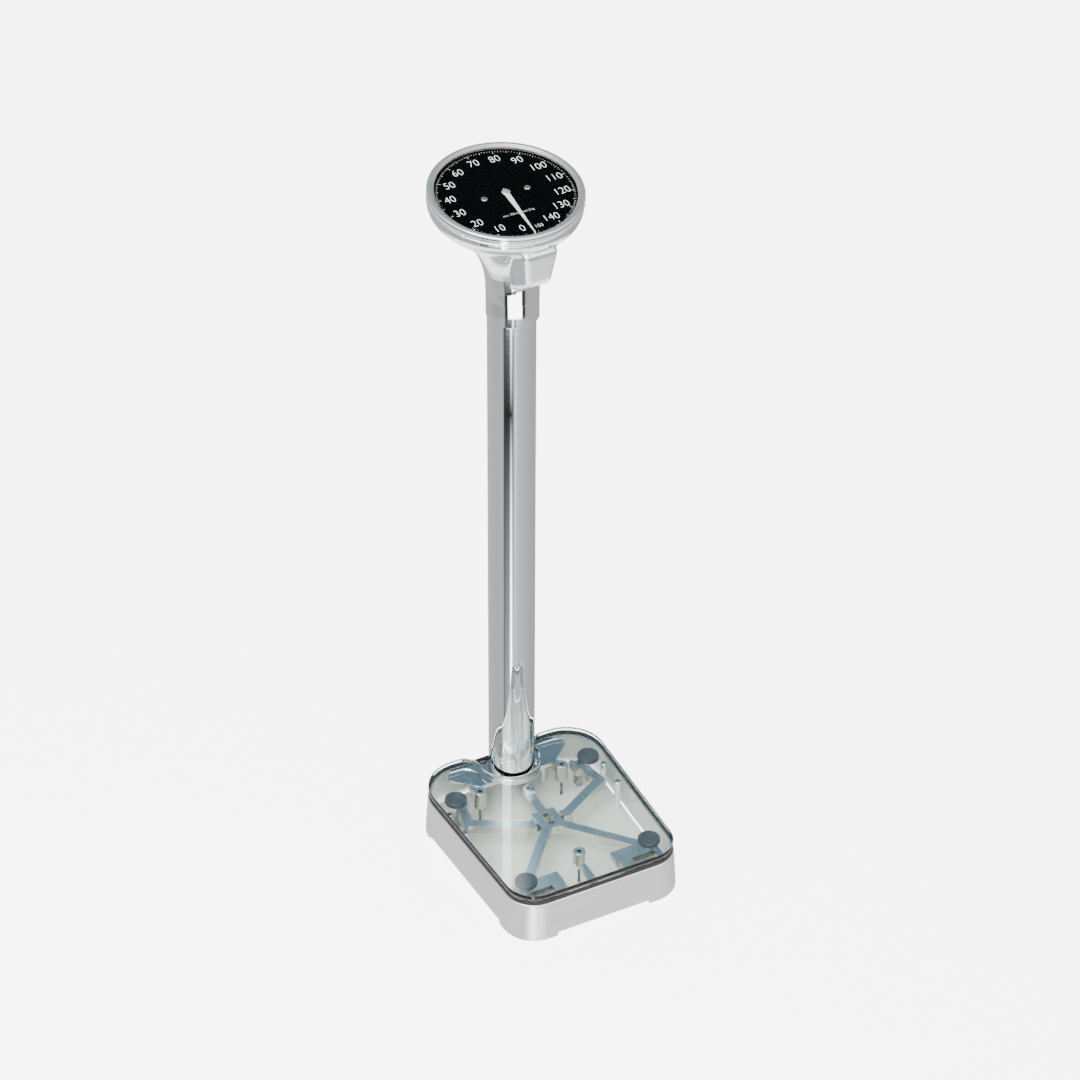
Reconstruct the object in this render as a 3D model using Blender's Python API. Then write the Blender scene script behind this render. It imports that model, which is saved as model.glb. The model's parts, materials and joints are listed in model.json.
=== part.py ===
"""Column dial scale.

A tapered glass platform rests on four rubber pads over a pair of weighing levers. A draw rod
in the chromed column carries the load up to a bell crank in the head, which drives a rack, a
pinion and the pointer of a round dial. Metres, +Z up, the user stands on the -Y side.
"""

import math

import bmesh
import bpy
from mathutils import Matrix, Vector

MM = 0.001
GAP = 0.3 * MM

# Column, whose axis everything is measured from, and its flange.
TUBE_RADIUS = 35.3 * MM
TUBE_WALL = 2.0 * MM
FLANGE_WIDTH = 8.7 * MM
FLANGE_HEIGHT = 5.0 * MM
FLANGE_RADIUS = TUBE_RADIUS + FLANGE_WIDTH

# Base.
COLUMN_REAR_MARGIN = 6.1 * MM
PLATFORM_REAR = TUBE_RADIUS + COLUMN_REAR_MARGIN
PLATFORM_FRONT = 297.3 * MM
REAR_HALF_WIDTH = 148.7 * MM
FRONT_HALF_WIDTH = 137.0 * MM
REAR_CORNER_RADIUS = 61.7 * MM
FRONT_CORNER_RADIUS = 46.0 * MM
SHELL_HEIGHT = 65.4 * MM
SHELL_WALL = 3.0 * MM
SHELL_FLARE = 4.0 * MM
SHELL_LIP = 6.0 * MM
SHELL_RIM_THICKNESS = 3.0 * MM
CORNER_FOOT_CUT = 6.0 * MM
CORNER_FOOT_LENGTH = 60.0 * MM
FLOOR_HEIGHT = 5.0 * MM
FLOOR_THICKNESS = 3.0 * MM
FLOOR_TOP = FLOOR_HEIGHT + FLOOR_THICKNESS

GASKET_HEIGHT = 6.0 * MM
GASKET_WIDTH = 2.4 * MM
GASKET_INSET = 1.2 * MM

# Glass platform, its pads and the shoes that carry them.
GLASS_THICKNESS = 10.0 * MM
GLASS_LIFT = 2.3 * MM
GLASS_INSET = 1.0 * MM
GLASS_EDGE_ROUND = 1.4 * MM
GLASS_BOTTOM = SHELL_HEIGHT + GAP + GASKET_HEIGHT + GLASS_LIFT
GLASS_TOP = GLASS_BOTTOM + GLASS_THICKNESS
NOTCH_CLEARANCE = 2.5 * MM
NOTCH_RADIUS = FLANGE_RADIUS + NOTCH_CLEARANCE
NOTCH_SETBACK = 9.0 * MM
NOTCH_SHOULDER_RADIUS = 26.0 * MM

PAD_RADIUS = 17.0 * MM
PAD_THICKNESS = 7.5 * MM
PAD_BOTTOM = GLASS_BOTTOM - GAP - PAD_THICKNESS
FRONT_PAD = Vector((FRONT_HALF_WIDTH - 33.6 * MM, -PLATFORM_FRONT + 49.3 * MM))
REAR_PAD = Vector((REAR_HALF_WIDTH - 35.3 * MM, -36.0 * MM))
SHOE_RADIUS = PAD_RADIUS - 5.0 * MM
SHOE_STEM_RADIUS = 6.5 * MM
SHOE_CLEARANCE = 1.5 * MM

# Bridge, pillars and posts.
BRIDGE_TOP = SHELL_HEIGHT + 0.6 * MM
BRIDGE_THICKNESS = 3.0 * MM
BRIDGE_BOTTOM = BRIDGE_TOP - BRIDGE_THICKNESS
BRIDGE_HALF_WIDTH = REAR_HALF_WIDTH - 48.7 * MM
BRIDGE_FRONT_HALF_WIDTH = 65.0 * MM
BRIDGE_FRONT = 20.0 * MM
BRIDGE_REAR_CLEARANCE = 0.5 * MM
BRIDGE_SHOULDER = 14.0 * MM
BRIDGE_EAR_LENGTH = 8.0 * MM
BRIDGE_LIP_DEPTH = 7.0 * MM
BRIDGE_LIP_THICKNESS = 2.0 * MM
BRIDGE_PILLAR = Vector((56.0 * MM, 4.0 * MM))
PILLAR_RADIUS = 5.0 * MM
WALL_PILLAR_INSET = 13.2 * MM
WALL_PILLAR_ROWS = (-100.0 * MM, -52.0 * MM)
WALL_PILLAR_TOP = SHELL_HEIGHT - 3.4 * MM
WALL_PILLAR_FOOT = 9.0 * MM
POST_RADIUS = 9.5 * MM
POST_BORE_RADIUS = 3.2 * MM
POST_CHAMFER = 1.0 * MM
POST_TOP = SHELL_HEIGHT + 2.6 * MM
REAR_POST_LENGTH = 30.0 * MM
POST_ARM_HALF_WIDTH = 6.0 * MM
POST_ARM_DEPTH = 12.4 * MM
POST_ARM_LENGTH = 26.0 * MM
REAR_POST = Vector((70.0 * MM, -31.0 * MM))
FRONT_POST = Vector((0.0, -PLATFORM_FRONT + 76.3 * MM))
STRUT_WIDTH = 13.0 * MM
STRUT_THICKNESS = 4.0 * MM
STRUT_TOP = POST_TOP - 22.0 * MM

# Levelling feet.
FOOT_RADIUS = 9.0 * MM
FOOT_THICKNESS = 3.0 * MM
FOOT_LIFT = 0.8 * MM
SCREW_RADIUS = 2.1 * MM
SCREW_LENGTH = SHELL_HEIGHT - 13.4 * MM
FLOOR_HOLE_RADIUS = SCREW_RADIUS + 0.8 * MM

# Levers. The short lever's load arm keeps the platform level as both levers turn.
LEVER_TOP = SHELL_HEIGHT - 10.4 * MM
LEVER_DEPTH = 14.0 * MM
LEVER_WIDTH = 15.0 * MM
LEVER_BOTTOM = LEVER_TOP - LEVER_DEPTH
TAIL_WIDTH = 15.0 * MM
LONG_LOAD_ARM = 20.0 * MM
SHORT_LOAD_ARM = 13.65 * MM
PIVOT_HALF_DIAGONAL = 3.2 * MM
PIVOT_DROP = 5.0 * MM
PIVOT_CLEARANCE = 0.4 * MM
PIVOT_EAR_MARGIN = 3.0 * MM
PIVOT_Z = LEVER_TOP - PIVOT_DROP
HUB_Y = (REAR_PAD.y * LONG_LOAD_ARM + FRONT_PAD.y * SHORT_LOAD_ARM) / (LONG_LOAD_ARM + SHORT_LOAD_ARM)
HUB_HALF_WIDTH = 19.0 * MM
HUB_HALF_LENGTH = 21.0 * MM
HUB_PLATE = 6.0 * MM
HUB_FRONT_WALL = 9.0 * MM
HUB_REAR_WALL = 6.0 * MM
HUB_SLOT_WIDTH = 9.0 * MM
HUB_SLOT_LENGTH = 26.0 * MM
HUB_CLEARANCE = 5.0 * MM
ARM_OVERLAP = 4.0 * MM
FRONT_ARM_END = Vector((FRONT_PAD.x - 6.4 * MM, FRONT_PAD.y + 11.0 * MM))
FRONT_PLATE_INNER = FRONT_PAD.x - 59.4 * MM
FRONT_PLATE_OUTER = FRONT_PAD.x + 13.6 * MM
FRONT_PLATE_REAR = FRONT_PAD.y + 15.0 * MM
FRONT_PLATE_FRONT = FRONT_PAD.y - 9.0 * MM
FRONT_PLATE_THICKNESS = 10.0 * MM
INNER_EAR_INSET = 3.0 * MM
INNER_EAR_WIDTH = 20.0 * MM
INNER_EAR_RISE = 3.0 * MM
OUTER_EAR_WIDTH = 10.0 * MM
REAR_ELBOW = Vector((REAR_PAD.x - 1.4 * MM, -76.0 * MM))
REAR_ARM_END = Vector((REAR_PAD.x - 9.9 * MM, REAR_PAD.y + 5.0 * MM))
REAR_YOKE_HALF_LENGTH = 4.0 * MM
REAR_EAR_WIDTH = 6.0 * MM
REAR_EAR_SPACING = 24.0 * MM
STAND_DEPTH = 14.0 * MM
STAND_SIDE_CLEARANCE = 2.0 * MM
CROSS_BAR_HALF_WIDTH = 8.0 * MM
CROSS_BAR_DROP = 4.0 * MM
LINK_WIDTH = 5.0 * MM
LINK_THICKNESS = 3.0 * MM
LINK_HEIGHT = 20.0 * MM
LINK_HEAD_HEIGHT = 3.0 * MM
LINK_SIDE_CLEARANCE = 1.0 * MM
LINK_SWING_CLEARANCE = 3.0 * MM
NUT_Y = -56.0 * MM
NUT_RADIUS = 9.5 * MM
NUT_HEIGHT = 10.0 * MM
NUT_HOLE_RADIUS = 3.0 * MM
NUT_SLOTS = 8
NUT_SLOT_HALF_WIDTH = 1.2 * MM

LONG_PIVOT_Y = FRONT_PAD.y - LONG_LOAD_ARM
LONG_ARM_TO_HUB = HUB_Y - LONG_PIVOT_Y
SHORT_PIVOT_Y = REAR_PAD.y + SHORT_LOAD_ARM

# Draw rod and spring.
ROD_RADIUS = 3.0 * MM
ROD_HOLE_RADIUS = 5.0 * MM
ROD_TRAVEL = 24.5 * MM
ROD_COLLAR_RADIUS = 19.0 * MM
ROD_COLLAR_HEIGHT = 5.0 * MM
EYE_HALF_THICKNESS = 2.0 * MM
EYE_HALF_LENGTH = 9.0 * MM
EYE_WALL = 3.0 * MM
FORK_CHEEK = 3.0 * MM
FORK_LENGTH = 14.0 * MM
FORK_SIDE_CLEARANCE = 1.5 * MM
FORK_TOP_CLEARANCE = 1.0 * MM
FORK_PIN_RADIUS = 2.5 * MM
FORK_HOLE_RADIUS = 4.6 * MM
FORK_PIN_Z = PIVOT_Z - 2.0 * MM
FORK_REACH = 6.0 * MM
SPRING_LENGTH = 120.0 * MM
SPRING_RADIUS = 14.0 * MM
SPRING_WIRE_RADIUS = 1.6 * MM
SPRING_TURNS = 9
SPRING_STEPS_PER_TURN = 14

# Head. The dial's own frame has its origin at the middle of the face and leans to the user.
DIAL_SETBACK = 17.6 * MM
DIAL_HEIGHT = 1091.0 * MM
DIAL_LEAN = math.radians(6.4)
HEAD_DEPTH = 185.0 * MM
TUBE_SOCKET_DEPTH = 33.0 * MM
COLLAR_BOTTOM = DIAL_HEIGHT - HEAD_DEPTH
TUBE_TOP = COLLAR_BOTTOM + TUBE_SOCKET_DEPTH
COLLAR_RADIUS = TUBE_RADIUS + 1.6 * MM
COLLAR_FORWARD = 6.0 * MM
SOCKET_CLEARANCE = 0.4 * MM
NECK_BORE_RADIUS = TUBE_RADIUS - 6.3 * MM
NECK_BORE_FORWARD = 10.0 * MM
DRUM_RADIUS = 110.5 * MM
DRUM_SEAM = 3.0 * MM
DRUM_WALL = 9.0 * MM
DRUM_FLOOR = 26.0 * MM
CHIN_FRONT = 84.0 * MM
CHIN_TOP_FRONT = 92.0 * MM
CHIN_HALF_WIDTH = 19.0 * MM
CHIN_TOP_HALF_WIDTH = 27.0 * MM
CHIN_BOTTOM = DIAL_HEIGHT - 92.0 * MM
CHIN_HEEL = DIAL_HEIGHT - 133.0 * MM
CHIN_TOP = DIAL_HEIGHT - 35.0 * MM
CHIN_ROUNDING = 5.0 * MM
CRANK_BAY_HALF_WIDTH = 14.0 * MM
CRANK_BAY_FRONT = 62.0 * MM
CRANK_BAY_BOTTOM = DIAL_HEIGHT - 83.0 * MM

BEZEL_OPENING = DRUM_RADIUS - 10.5 * MM
BEZEL_HEIGHT = 8.0 * MM
FACE_RADIUS = BEZEL_OPENING + 2.0 * MM
FACE_THICKNESS = 2.0 * MM
FACE_EDGE_CLEARANCE = 0.4 * MM
CRYSTAL_HEIGHT = 5.0 * MM
CRYSTAL_THICKNESS = 1.6 * MM
FACE_SCREW_X = 33.3 * MM
FACE_SCREW_RADIUS = 3.4 * MM
BEZEL_SCREW_ANGLES = (60, 180, 300)
BEZEL_SCREW_RADIUS = 2.2 * MM
BEZEL_SCREW_DEPTH = 9.5 * MM
BEZEL_SCREW_STANDOFF = 1.8 * MM

# Pointer and the movement that turns it.
POINTER_REST = math.radians(2.0)
POINTER_SWEEP = math.radians(351.8)
POINTER_LENGTH = BEZEL_OPENING - 4.0 * MM
POINTER_TAIL = 9.0 * MM
POINTER_HALF_WIDTH = 4.2 * MM
POINTER_TIP_HALF_WIDTH = 0.7 * MM
POINTER_HUB_RADIUS = 5.5 * MM
POINTER_HEIGHT = 2.0 * MM
POINTER_THICKNESS = 1.0 * MM
ARBOR_RADIUS = 1.5 * MM
ARBOR_HOLE_RADIUS = 2.6 * MM
PINION_TEETH = 12
PINION_TOP = 11.0 * MM
PINION_THICKNESS = 6.0 * MM
PINION_TOOTH = 0.6 * MM
PINION_RADIUS = ROD_TRAVEL / POINTER_SWEEP
RACK_CLEARANCE = 0.6 * MM
RACK_WIDTH = 4.0 * MM
RACK_THICKNESS = 5.0 * MM
RACK_END = 6.0 * MM
RACK_TAB_HALF_LENGTH = 7.0 * MM
RACK_TAB_DROP = 11.0 * MM
RACK_NEAR = -PINION_RADIUS - PINION_TOOTH - RACK_CLEARANCE
CRANK_ARM = 30.0 * MM
CRANK_ARM_WIDTH = 7.0 * MM
CRANK_THICKNESS = 3.0 * MM
CRANK_PIN_RADIUS = 1.8 * MM
CRANK_SLOT_CLEARANCE = 0.8 * MM
CRANK_SLOT_HALF = CRANK_PIN_RADIUS + CRANK_SLOT_CLEARANCE
CRANK_REAR_FACE = 3.0 * MM
CRANK_UPPER_FACE = -1.0 * MM
MOVEMENT_POST_X = 31.0 * MM
MOVEMENT_POST_RADIUS = 4.0 * MM
MOVEMENT_HALF_LENGTH = 36.0 * MM
MOVEMENT_HALF_WIDTH = 12.0 * MM
MOVEMENT_PLATE_TOP = 4.5 * MM
MOVEMENT_PLATE_THICKNESS = 2.0 * MM

# The bell crank's arms stand level and upright halfway through the rod's travel.
CRANK_START = math.asin(ROD_TRAVEL / 2 / CRANK_ARM)
CRANK_PIVOT_Y = -CRANK_ARM * math.cos(CRANK_START)
RACK_DEPTH = PINION_TOP + PINION_THICKNESS / 2
CRANK_PIN_Y = CRANK_PIVOT_Y - CRANK_ARM * math.sin(CRANK_START)
CRANK_PIN_Z = (DIAL_HEIGHT + ((CRANK_PIN_Y - DIAL_SETBACK) * math.sin(DIAL_LEAN)
                              - RACK_DEPTH - CRANK_THICKNESS) / math.cos(DIAL_LEAN))
CRANK_PIVOT_Z = CRANK_PIN_Z - CRANK_ARM * math.cos(CRANK_START)
ROD_EYE_Z = CRANK_PIVOT_Z + CRANK_ARM * math.sin(CRANK_START)


# ---------------------------------------------------------------- materials and mesh helpers

def paint(name, red, green, blue, roughness, metallic):
    """A plain material with one colour."""
    material = bpy.data.materials.get(name)
    if material is None:
        material = bpy.data.materials.new(name)
        material.use_nodes = True
        shader = material.node_tree.nodes["Principled BSDF"]
        shader.inputs["Base Color"].default_value = (red, green, blue, 1.0)
        shader.inputs["Roughness"].default_value = roughness
        shader.inputs["Metallic"].default_value = metallic
    return material


def chrome():
    return paint("chrome", 0.62, 0.63, 0.64, 0.05, 1.0)


def satin_steel():
    return paint("satin_steel", 0.50, 0.50, 0.51, 0.25, 1.0)


def brushed_floor():
    return paint("brushed_floor", 0.80, 0.78, 0.72, 0.4, 0.9)


def cast_alloy():
    return paint("cast_alloy", 0.42, 0.48, 0.54, 0.35, 0.8)


def hard_steel():
    return paint("hard_steel", 0.45, 0.45, 0.46, 0.3, 1.0)


def rubber():
    return paint("rubber", 0.10, 0.11, 0.13, 0.8, 0.0)


def clear_glass():
    return paint("clear_glass", 0.75, 0.9, 0.9, 0.0, 0.0)


def black_enamel():
    return paint("black_enamel", 0.01, 0.01, 0.01, 0.35, 0.0)


def white_enamel():
    return paint("white_enamel", 0.85, 0.85, 0.82, 0.4, 0.0)


def brass():
    return paint("brass", 0.60, 0.45, 0.18, 0.3, 1.0)


def finish(name, build, material, parent=None, smooth=35.0):
    """Turn a bmesh into a shaded object."""
    bmesh.ops.recalc_face_normals(build, faces=build.faces)
    mesh = bpy.data.meshes.new(name)
    build.to_mesh(mesh)
    build.free()
    mesh.shade_smooth()
    mesh.set_sharp_from_angle(angle=math.radians(smooth))
    mesh.materials.append(material)
    item = bpy.data.objects.new(name, mesh)
    bpy.context.collection.objects.link(item)
    item.parent = parent
    return item


def loft(name, rings, material, parent=None, closed=False):
    """Skin rings of equal length; a closed loft joins the last ring to the first."""
    build = bmesh.new()
    rows = [[build.verts.new(point) for point in ring] for ring in rings]
    pairs = list(zip(rows, rows[1:]))
    if closed:
        pairs.append((rows[-1], rows[0]))
    for low, high in pairs:
        for k in range(len(low)):
            build.faces.new((low[k - 1], low[k], high[k], high[k - 1]))
    if not closed:
        build.faces.new(rows[0])
        build.faces.new(rows[-1])
    return finish(name, build, material, parent)


def arc(centre, radius, start, end, steps):
    """Points on an arc, both ends included, angles in degrees."""
    angles = [math.radians(start + (end - start) * k / steps) for k in range(steps + 1)]
    return [(centre[0] + radius * math.cos(a), centre[1] + radius * math.sin(a)) for a in angles]


def circle(radius, height, centre=(0.0, 0.0), count=32):
    return [(x, y, height) for x, y in arc(centre, radius, 0, 360, count)[:-1]]


def turned(name, profile, material, centre=(0.0, 0.0), count=32, parent=None, hollow=False):
    """A turned piece from (radius, height) pairs; a hollow one's profile runs all the way round."""
    rings = [circle(radius, height, centre, count) for radius, height in profile]
    return loft(name, rings, material, parent, closed=hollow)


def drill(name, radius, bottom, top, centre=(0.0, 0.0), parent=None):
    """A cutter for a round hole."""
    return turned(name, ((radius, bottom), (radius, top)), hard_steel(), centre, 16, parent)


def prism(name, outline, bottom, top, material, parent=None):
    rings = [[(x, y, z) for x, y in outline] for z in (bottom, top)]
    return loft(name, rings, material, parent)


def block(name, low, high, material, parent=None):
    outline = [(low[0], low[1]), (high[0], low[1]), (high[0], high[1]), (low[0], high[1])]
    return prism(name, outline, low[2], high[2], material, parent)


def bar_along_x(name, outline, start, end, material, parent=None):
    """A prism whose (y, z) outline is drawn out along X."""
    rings = [[(x, y, z) for y, z in outline] for x in (start, end)]
    return loft(name, rings, material, parent)


def boolean(target, tool, operation):
    """Join a tool to a piece or cut it away, and keep the tool out of the model."""
    tool.hide_render = True
    tool.display_type = "WIRE"
    modifier = target.modifiers.new(tool.name, "BOOLEAN")
    modifier.operation = operation
    modifier.solver = "EXACT"
    modifier.object = tool


def join(target, *tools):
    for tool in tools:
        boolean(target, tool, "UNION")


def cut(target, *tools):
    for tool in tools:
        boolean(target, tool, "DIFFERENCE")


def side_name(side):
    return "right" if side > 0 else "left"


# ---------------------------------------------------------------- platform outline

def half_width_at(y):
    """The platform's half width between its corners."""
    share = (PLATFORM_REAR - y) / (PLATFORM_REAR + PLATFORM_FRONT)
    return REAR_HALF_WIDTH + share * (FRONT_HALF_WIDTH - REAR_HALF_WIDTH)


def platform_corners():
    """Right-hand corner arcs: centre, radius and the outward angle of the side between them."""
    along = Vector((FRONT_HALF_WIDTH - REAR_HALF_WIDTH, -PLATFORM_FRONT - PLATFORM_REAR)).normalized()
    outward = Vector((-along.y, along.x))
    corners = []
    for half_width, edge, radius, inward in (
            (REAR_HALF_WIDTH, PLATFORM_REAR, REAR_CORNER_RADIUS, -1),
            (FRONT_HALF_WIDTH, -PLATFORM_FRONT, FRONT_CORNER_RADIUS, 1)):
        y = edge + inward * radius
        x = half_width - (radius + (y - edge) * outward.y) / outward.x
        corners.append(((x, y), radius))
    return corners, math.degrees(math.atan2(outward.y, outward.x))


def platform_outline(offset, steps=8):
    """The platform's outline moved outward by an offset, clockwise from the rear right corner."""
    corners, side_angle = platform_corners()
    (rear, rear_radius), (front, front_radius) = corners
    right = arc(rear, rear_radius + offset, 90, side_angle, steps)
    right += arc(front, front_radius + offset, side_angle, -90, steps)
    left = [(-x, y) for x, y in reversed(right)]
    return right + left


def glass_outline(offset):
    """The platform's outline with the notch that lets the column through."""
    shoulder_y = PLATFORM_REAR - NOTCH_SHOULDER_RADIUS
    reach = NOTCH_RADIUS + NOTCH_SHOULDER_RADIUS
    shoulder_x = math.sqrt(reach ** 2 - (shoulder_y - NOTCH_SETBACK) ** 2)
    lean = math.degrees(math.asin((shoulder_y - NOTCH_SETBACK) / reach))
    shoulder = NOTCH_SHOULDER_RADIUS + offset
    left = arc((-shoulder_x, shoulder_y), shoulder, 90, -lean, 8)
    notch = arc((0.0, NOTCH_SETBACK), NOTCH_RADIUS - offset, 180 - lean, 360 + lean, 18)
    right = arc((shoulder_x, shoulder_y), shoulder, 180 + lean, 90, 8)
    return platform_outline(offset) + left + notch[1:-1] + right


def swept_ring(name, section, material):
    """A ring round the platform from a section of (offset, height) pairs."""
    rings = [[(x, y, z) for x, y in platform_outline(offset)] for offset, z in section]
    return loft(name, rings, material, closed=True)


# ---------------------------------------------------------------- base

def build_shell():
    """The drawn steel skirt, open between its corners, with the rubber ring that lies on its rim."""
    rim = SHELL_HEIGHT
    section = (
        (SHELL_FLARE, 0.0),
        (SHELL_FLARE * 0.92, 4.0 * MM),
        (0.0, rim - 6.0 * MM),
        (-0.4 * MM, rim - 2.0 * MM),
        (-1.6 * MM, rim - 0.4 * MM),
        (-2.8 * MM, rim),
        (-SHELL_LIP, rim),
        (-SHELL_LIP, rim - SHELL_RIM_THICKNESS),
        (-SHELL_WALL, rim - SHELL_RIM_THICKNESS - 1.0 * MM),
        (SHELL_FLARE - SHELL_WALL, 0.0),
    )
    shell = swept_ring("base_shell", section, satin_steel())
    reach = REAR_HALF_WIDTH + 2 * SHELL_FLARE
    top = CORNER_FOOT_CUT
    side_cut = block("side_cut", (-reach, -PLATFORM_FRONT + CORNER_FOOT_LENGTH, -top),
                     (reach, PLATFORM_REAR - CORNER_FOOT_LENGTH, top), satin_steel())
    inner = FRONT_HALF_WIDTH - CORNER_FOOT_LENGTH
    front_cut = block("front_cut", (-inner, -PLATFORM_FRONT - 2 * SHELL_FLARE, -top),
                      (inner, PLATFORM_REAR + 2 * SHELL_FLARE, top), satin_steel())
    cut(shell, side_cut, front_cut)

    base = rim + GAP
    outer = -GASKET_INSET
    inner = outer - GASKET_WIDTH
    swept_ring("rim_gasket", ((outer, base), (outer, base + GASKET_HEIGHT), (inner, base + GASKET_HEIGHT),
                              (inner, base)), rubber())


def build_floor():
    outline = platform_outline(-SHELL_WALL - GAP)
    plate = prism("floor_plate", outline, FLOOR_HEIGHT, FLOOR_TOP, brushed_floor())
    for spot, name in levelling_spots():
        cut(plate, drill("hole_" + name, FLOOR_HOLE_RADIUS, 0.0, 2 * FLOOR_TOP, spot))


def levelling_spots():
    return (((-REAR_POST.x, REAR_POST.y), "rear_left"), ((REAR_POST.x, REAR_POST.y), "rear_right"),
            ((FRONT_POST.x, FRONT_POST.y), "front"))


def build_levelling():
    """Three bored posts, each with a jacking screw inside and a rubber foot below."""
    for spot, name in levelling_spots():
        bottom = STRUT_TOP + GAP if name == "front" else POST_TOP - REAR_POST_LENGTH
        post = turned("levelling_post_" + name, (
            (POST_RADIUS, bottom), (POST_RADIUS, POST_TOP - POST_CHAMFER),
            (POST_RADIUS - POST_CHAMFER, POST_TOP),
            (POST_BORE_RADIUS, POST_TOP), (POST_BORE_RADIUS, bottom)), cast_alloy(), spot, 24, hollow=True)
        if name != "front":
            join(post, build_post_arm(name, spot))
        foot_top = FOOT_LIFT + FOOT_THICKNESS
        turned("levelling_screw_" + name, (
            (SCREW_RADIUS, foot_top + GAP), (SCREW_RADIUS, foot_top + SCREW_LENGTH)), hard_steel(), spot, 16)
        turned("foot_" + name, (
            (FOOT_RADIUS, FOOT_LIFT), (FOOT_RADIUS, FOOT_LIFT + FOOT_THICKNESS * 0.6),
            (FOOT_RADIUS * 0.8, foot_top)), rubber(), spot, 24)
    build_strut()


def build_post_arm(name, spot):
    """The arm that carries a rear post under the bridge."""
    top = BRIDGE_TOP - BRIDGE_LIP_DEPTH - 2 * GAP
    root = spot[1] + (POST_BORE_RADIUS + POST_RADIUS) / 2
    return block("post_arm_" + name, (spot[0] - POST_ARM_HALF_WIDTH, root, top - POST_ARM_DEPTH),
                 (spot[0] + POST_ARM_HALF_WIDTH, spot[1] + POST_ARM_LENGTH, top), cast_alloy())


def build_strut():
    """The flat bar from the front wall that carries the front post."""
    half = STRUT_WIDTH / 2
    strut = block("post_strut", (-half, -PLATFORM_FRONT + SHELL_WALL + GAP, STRUT_TOP - STRUT_THICKNESS),
                  (half, FRONT_POST.y + half, STRUT_TOP), cast_alloy())
    cut(strut, drill("strut_hole", FLOOR_HOLE_RADIUS, 0.0, 2 * STRUT_TOP, FRONT_POST))


def build_bridge():
    """The plate that carries the column, its pillars and the pillars along the side walls."""
    rear = PLATFORM_REAR - SHELL_LIP - BRIDGE_REAR_CLEARANCE
    right = [(BRIDGE_HALF_WIDTH - BRIDGE_SHOULDER, rear), (BRIDGE_HALF_WIDTH, rear - BRIDGE_SHOULDER),
             (BRIDGE_HALF_WIDTH, rear - BRIDGE_SHOULDER - BRIDGE_EAR_LENGTH),
             (BRIDGE_FRONT_HALF_WIDTH, -BRIDGE_FRONT)]
    outline = right + [(-x, y) for x, y in reversed(right)]
    plate = prism("bridge_plate", outline, BRIDGE_BOTTOM, BRIDGE_TOP, chrome())
    lip = block("bridge_lip", (-BRIDGE_FRONT_HALF_WIDTH, -BRIDGE_FRONT, BRIDGE_TOP - BRIDGE_LIP_DEPTH),
                (BRIDGE_FRONT_HALF_WIDTH, -BRIDGE_FRONT + BRIDGE_LIP_THICKNESS,
                 BRIDGE_BOTTOM + BRIDGE_THICKNESS / 2), chrome())
    join(plate, lip)
    lever_room = TAIL_WIDTH / 2 + FORK_SIDE_CLEARANCE
    lip_gate = block("bridge_lip_gate", (-lever_room, -2 * BRIDGE_FRONT, 0.0),
                     (lever_room, -BRIDGE_FRONT + 2 * BRIDGE_LIP_THICKNESS, BRIDGE_BOTTOM), chrome())
    cut(plate, drill("bridge_rod_hole", ROD_HOLE_RADIUS, 0.0, 2 * BRIDGE_TOP), lip_gate)
    for side in (-1, 1):
        turned("bridge_pillar_" + side_name(side), (
            (PILLAR_RADIUS, FLOOR_TOP + GAP), (PILLAR_RADIUS, BRIDGE_BOTTOM - GAP)),
            chrome(), (side * BRIDGE_PILLAR.x, BRIDGE_PILLAR.y), 20)
        for k, y in enumerate(WALL_PILLAR_ROWS, 1):
            turned("wall_pillar_%s_%d" % (side_name(side), k), (
                (PILLAR_RADIUS * 0.85, FLOOR_TOP + GAP), (PILLAR_RADIUS, FLOOR_TOP + WALL_PILLAR_FOOT),
                (PILLAR_RADIUS, WALL_PILLAR_TOP)), chrome(),
                (side * (half_width_at(y) - WALL_PILLAR_INSET), y), 20)


# ---------------------------------------------------------------- platform

def build_platform():
    edge = GLASS_EDGE_ROUND
    inset = -GLASS_INSET
    levels = ((inset - edge, GLASS_BOTTOM), (inset, GLASS_BOTTOM + edge), (inset, GLASS_TOP - edge),
              (inset - edge * 0.3, GLASS_TOP - edge * 0.3), (inset - edge, GLASS_TOP))
    rings = [[(x, y, z) for x, y in glass_outline(offset)] for offset, z in levels]
    loft("glass_platform", rings, clear_glass())
    for side in (-1, 1):
        for row, pad in (("front", FRONT_PAD), ("rear", REAR_PAD)):
            spot = (side * pad.x, pad.y)
            name = "%s_%s" % (row, side_name(side))
            top = PAD_BOTTOM + PAD_THICKNESS
            turned("pad_" + name, ((PAD_RADIUS * 0.94, PAD_BOTTOM), (PAD_RADIUS, PAD_BOTTOM + 1.5 * MM),
                                   (PAD_RADIUS, top - 1.0 * MM), (PAD_RADIUS * 0.95, top)),
                   rubber(), spot, 28)
            shoe_top = PAD_BOTTOM - GAP
            turned("load_shoe_" + name, (
                (SHOE_STEM_RADIUS, LEVER_TOP + SHOE_CLEARANCE), (SHOE_STEM_RADIUS, shoe_top - 3.0 * MM),
                (SHOE_RADIUS, shoe_top - 2.4 * MM), (SHOE_RADIUS, shoe_top)), hard_steel(), spot, 24)


# ---------------------------------------------------------------- levers

def strip(start, end, width):
    """Outline of a straight arm of one width."""
    start, end = Vector(start), Vector(end)
    across = (end - start).normalized()
    across = Vector((-across.y, across.x)) * width / 2
    return [tuple(p) for p in (start + across, start - across, end - across, end + across)]


def arm(name, start, end, width):
    return prism(name, strip(start, end, width), LEVER_BOTTOM, LEVER_TOP, cast_alloy())


def lever_block(name, x_ends, y_ends, bottom=LEVER_BOTTOM, top=LEVER_TOP):
    """A block of a lever from its ends along X and Y, given in either order."""
    return block(name, (min(x_ends), min(y_ends), bottom), (max(x_ends), max(y_ends), top), cast_alloy())


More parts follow.
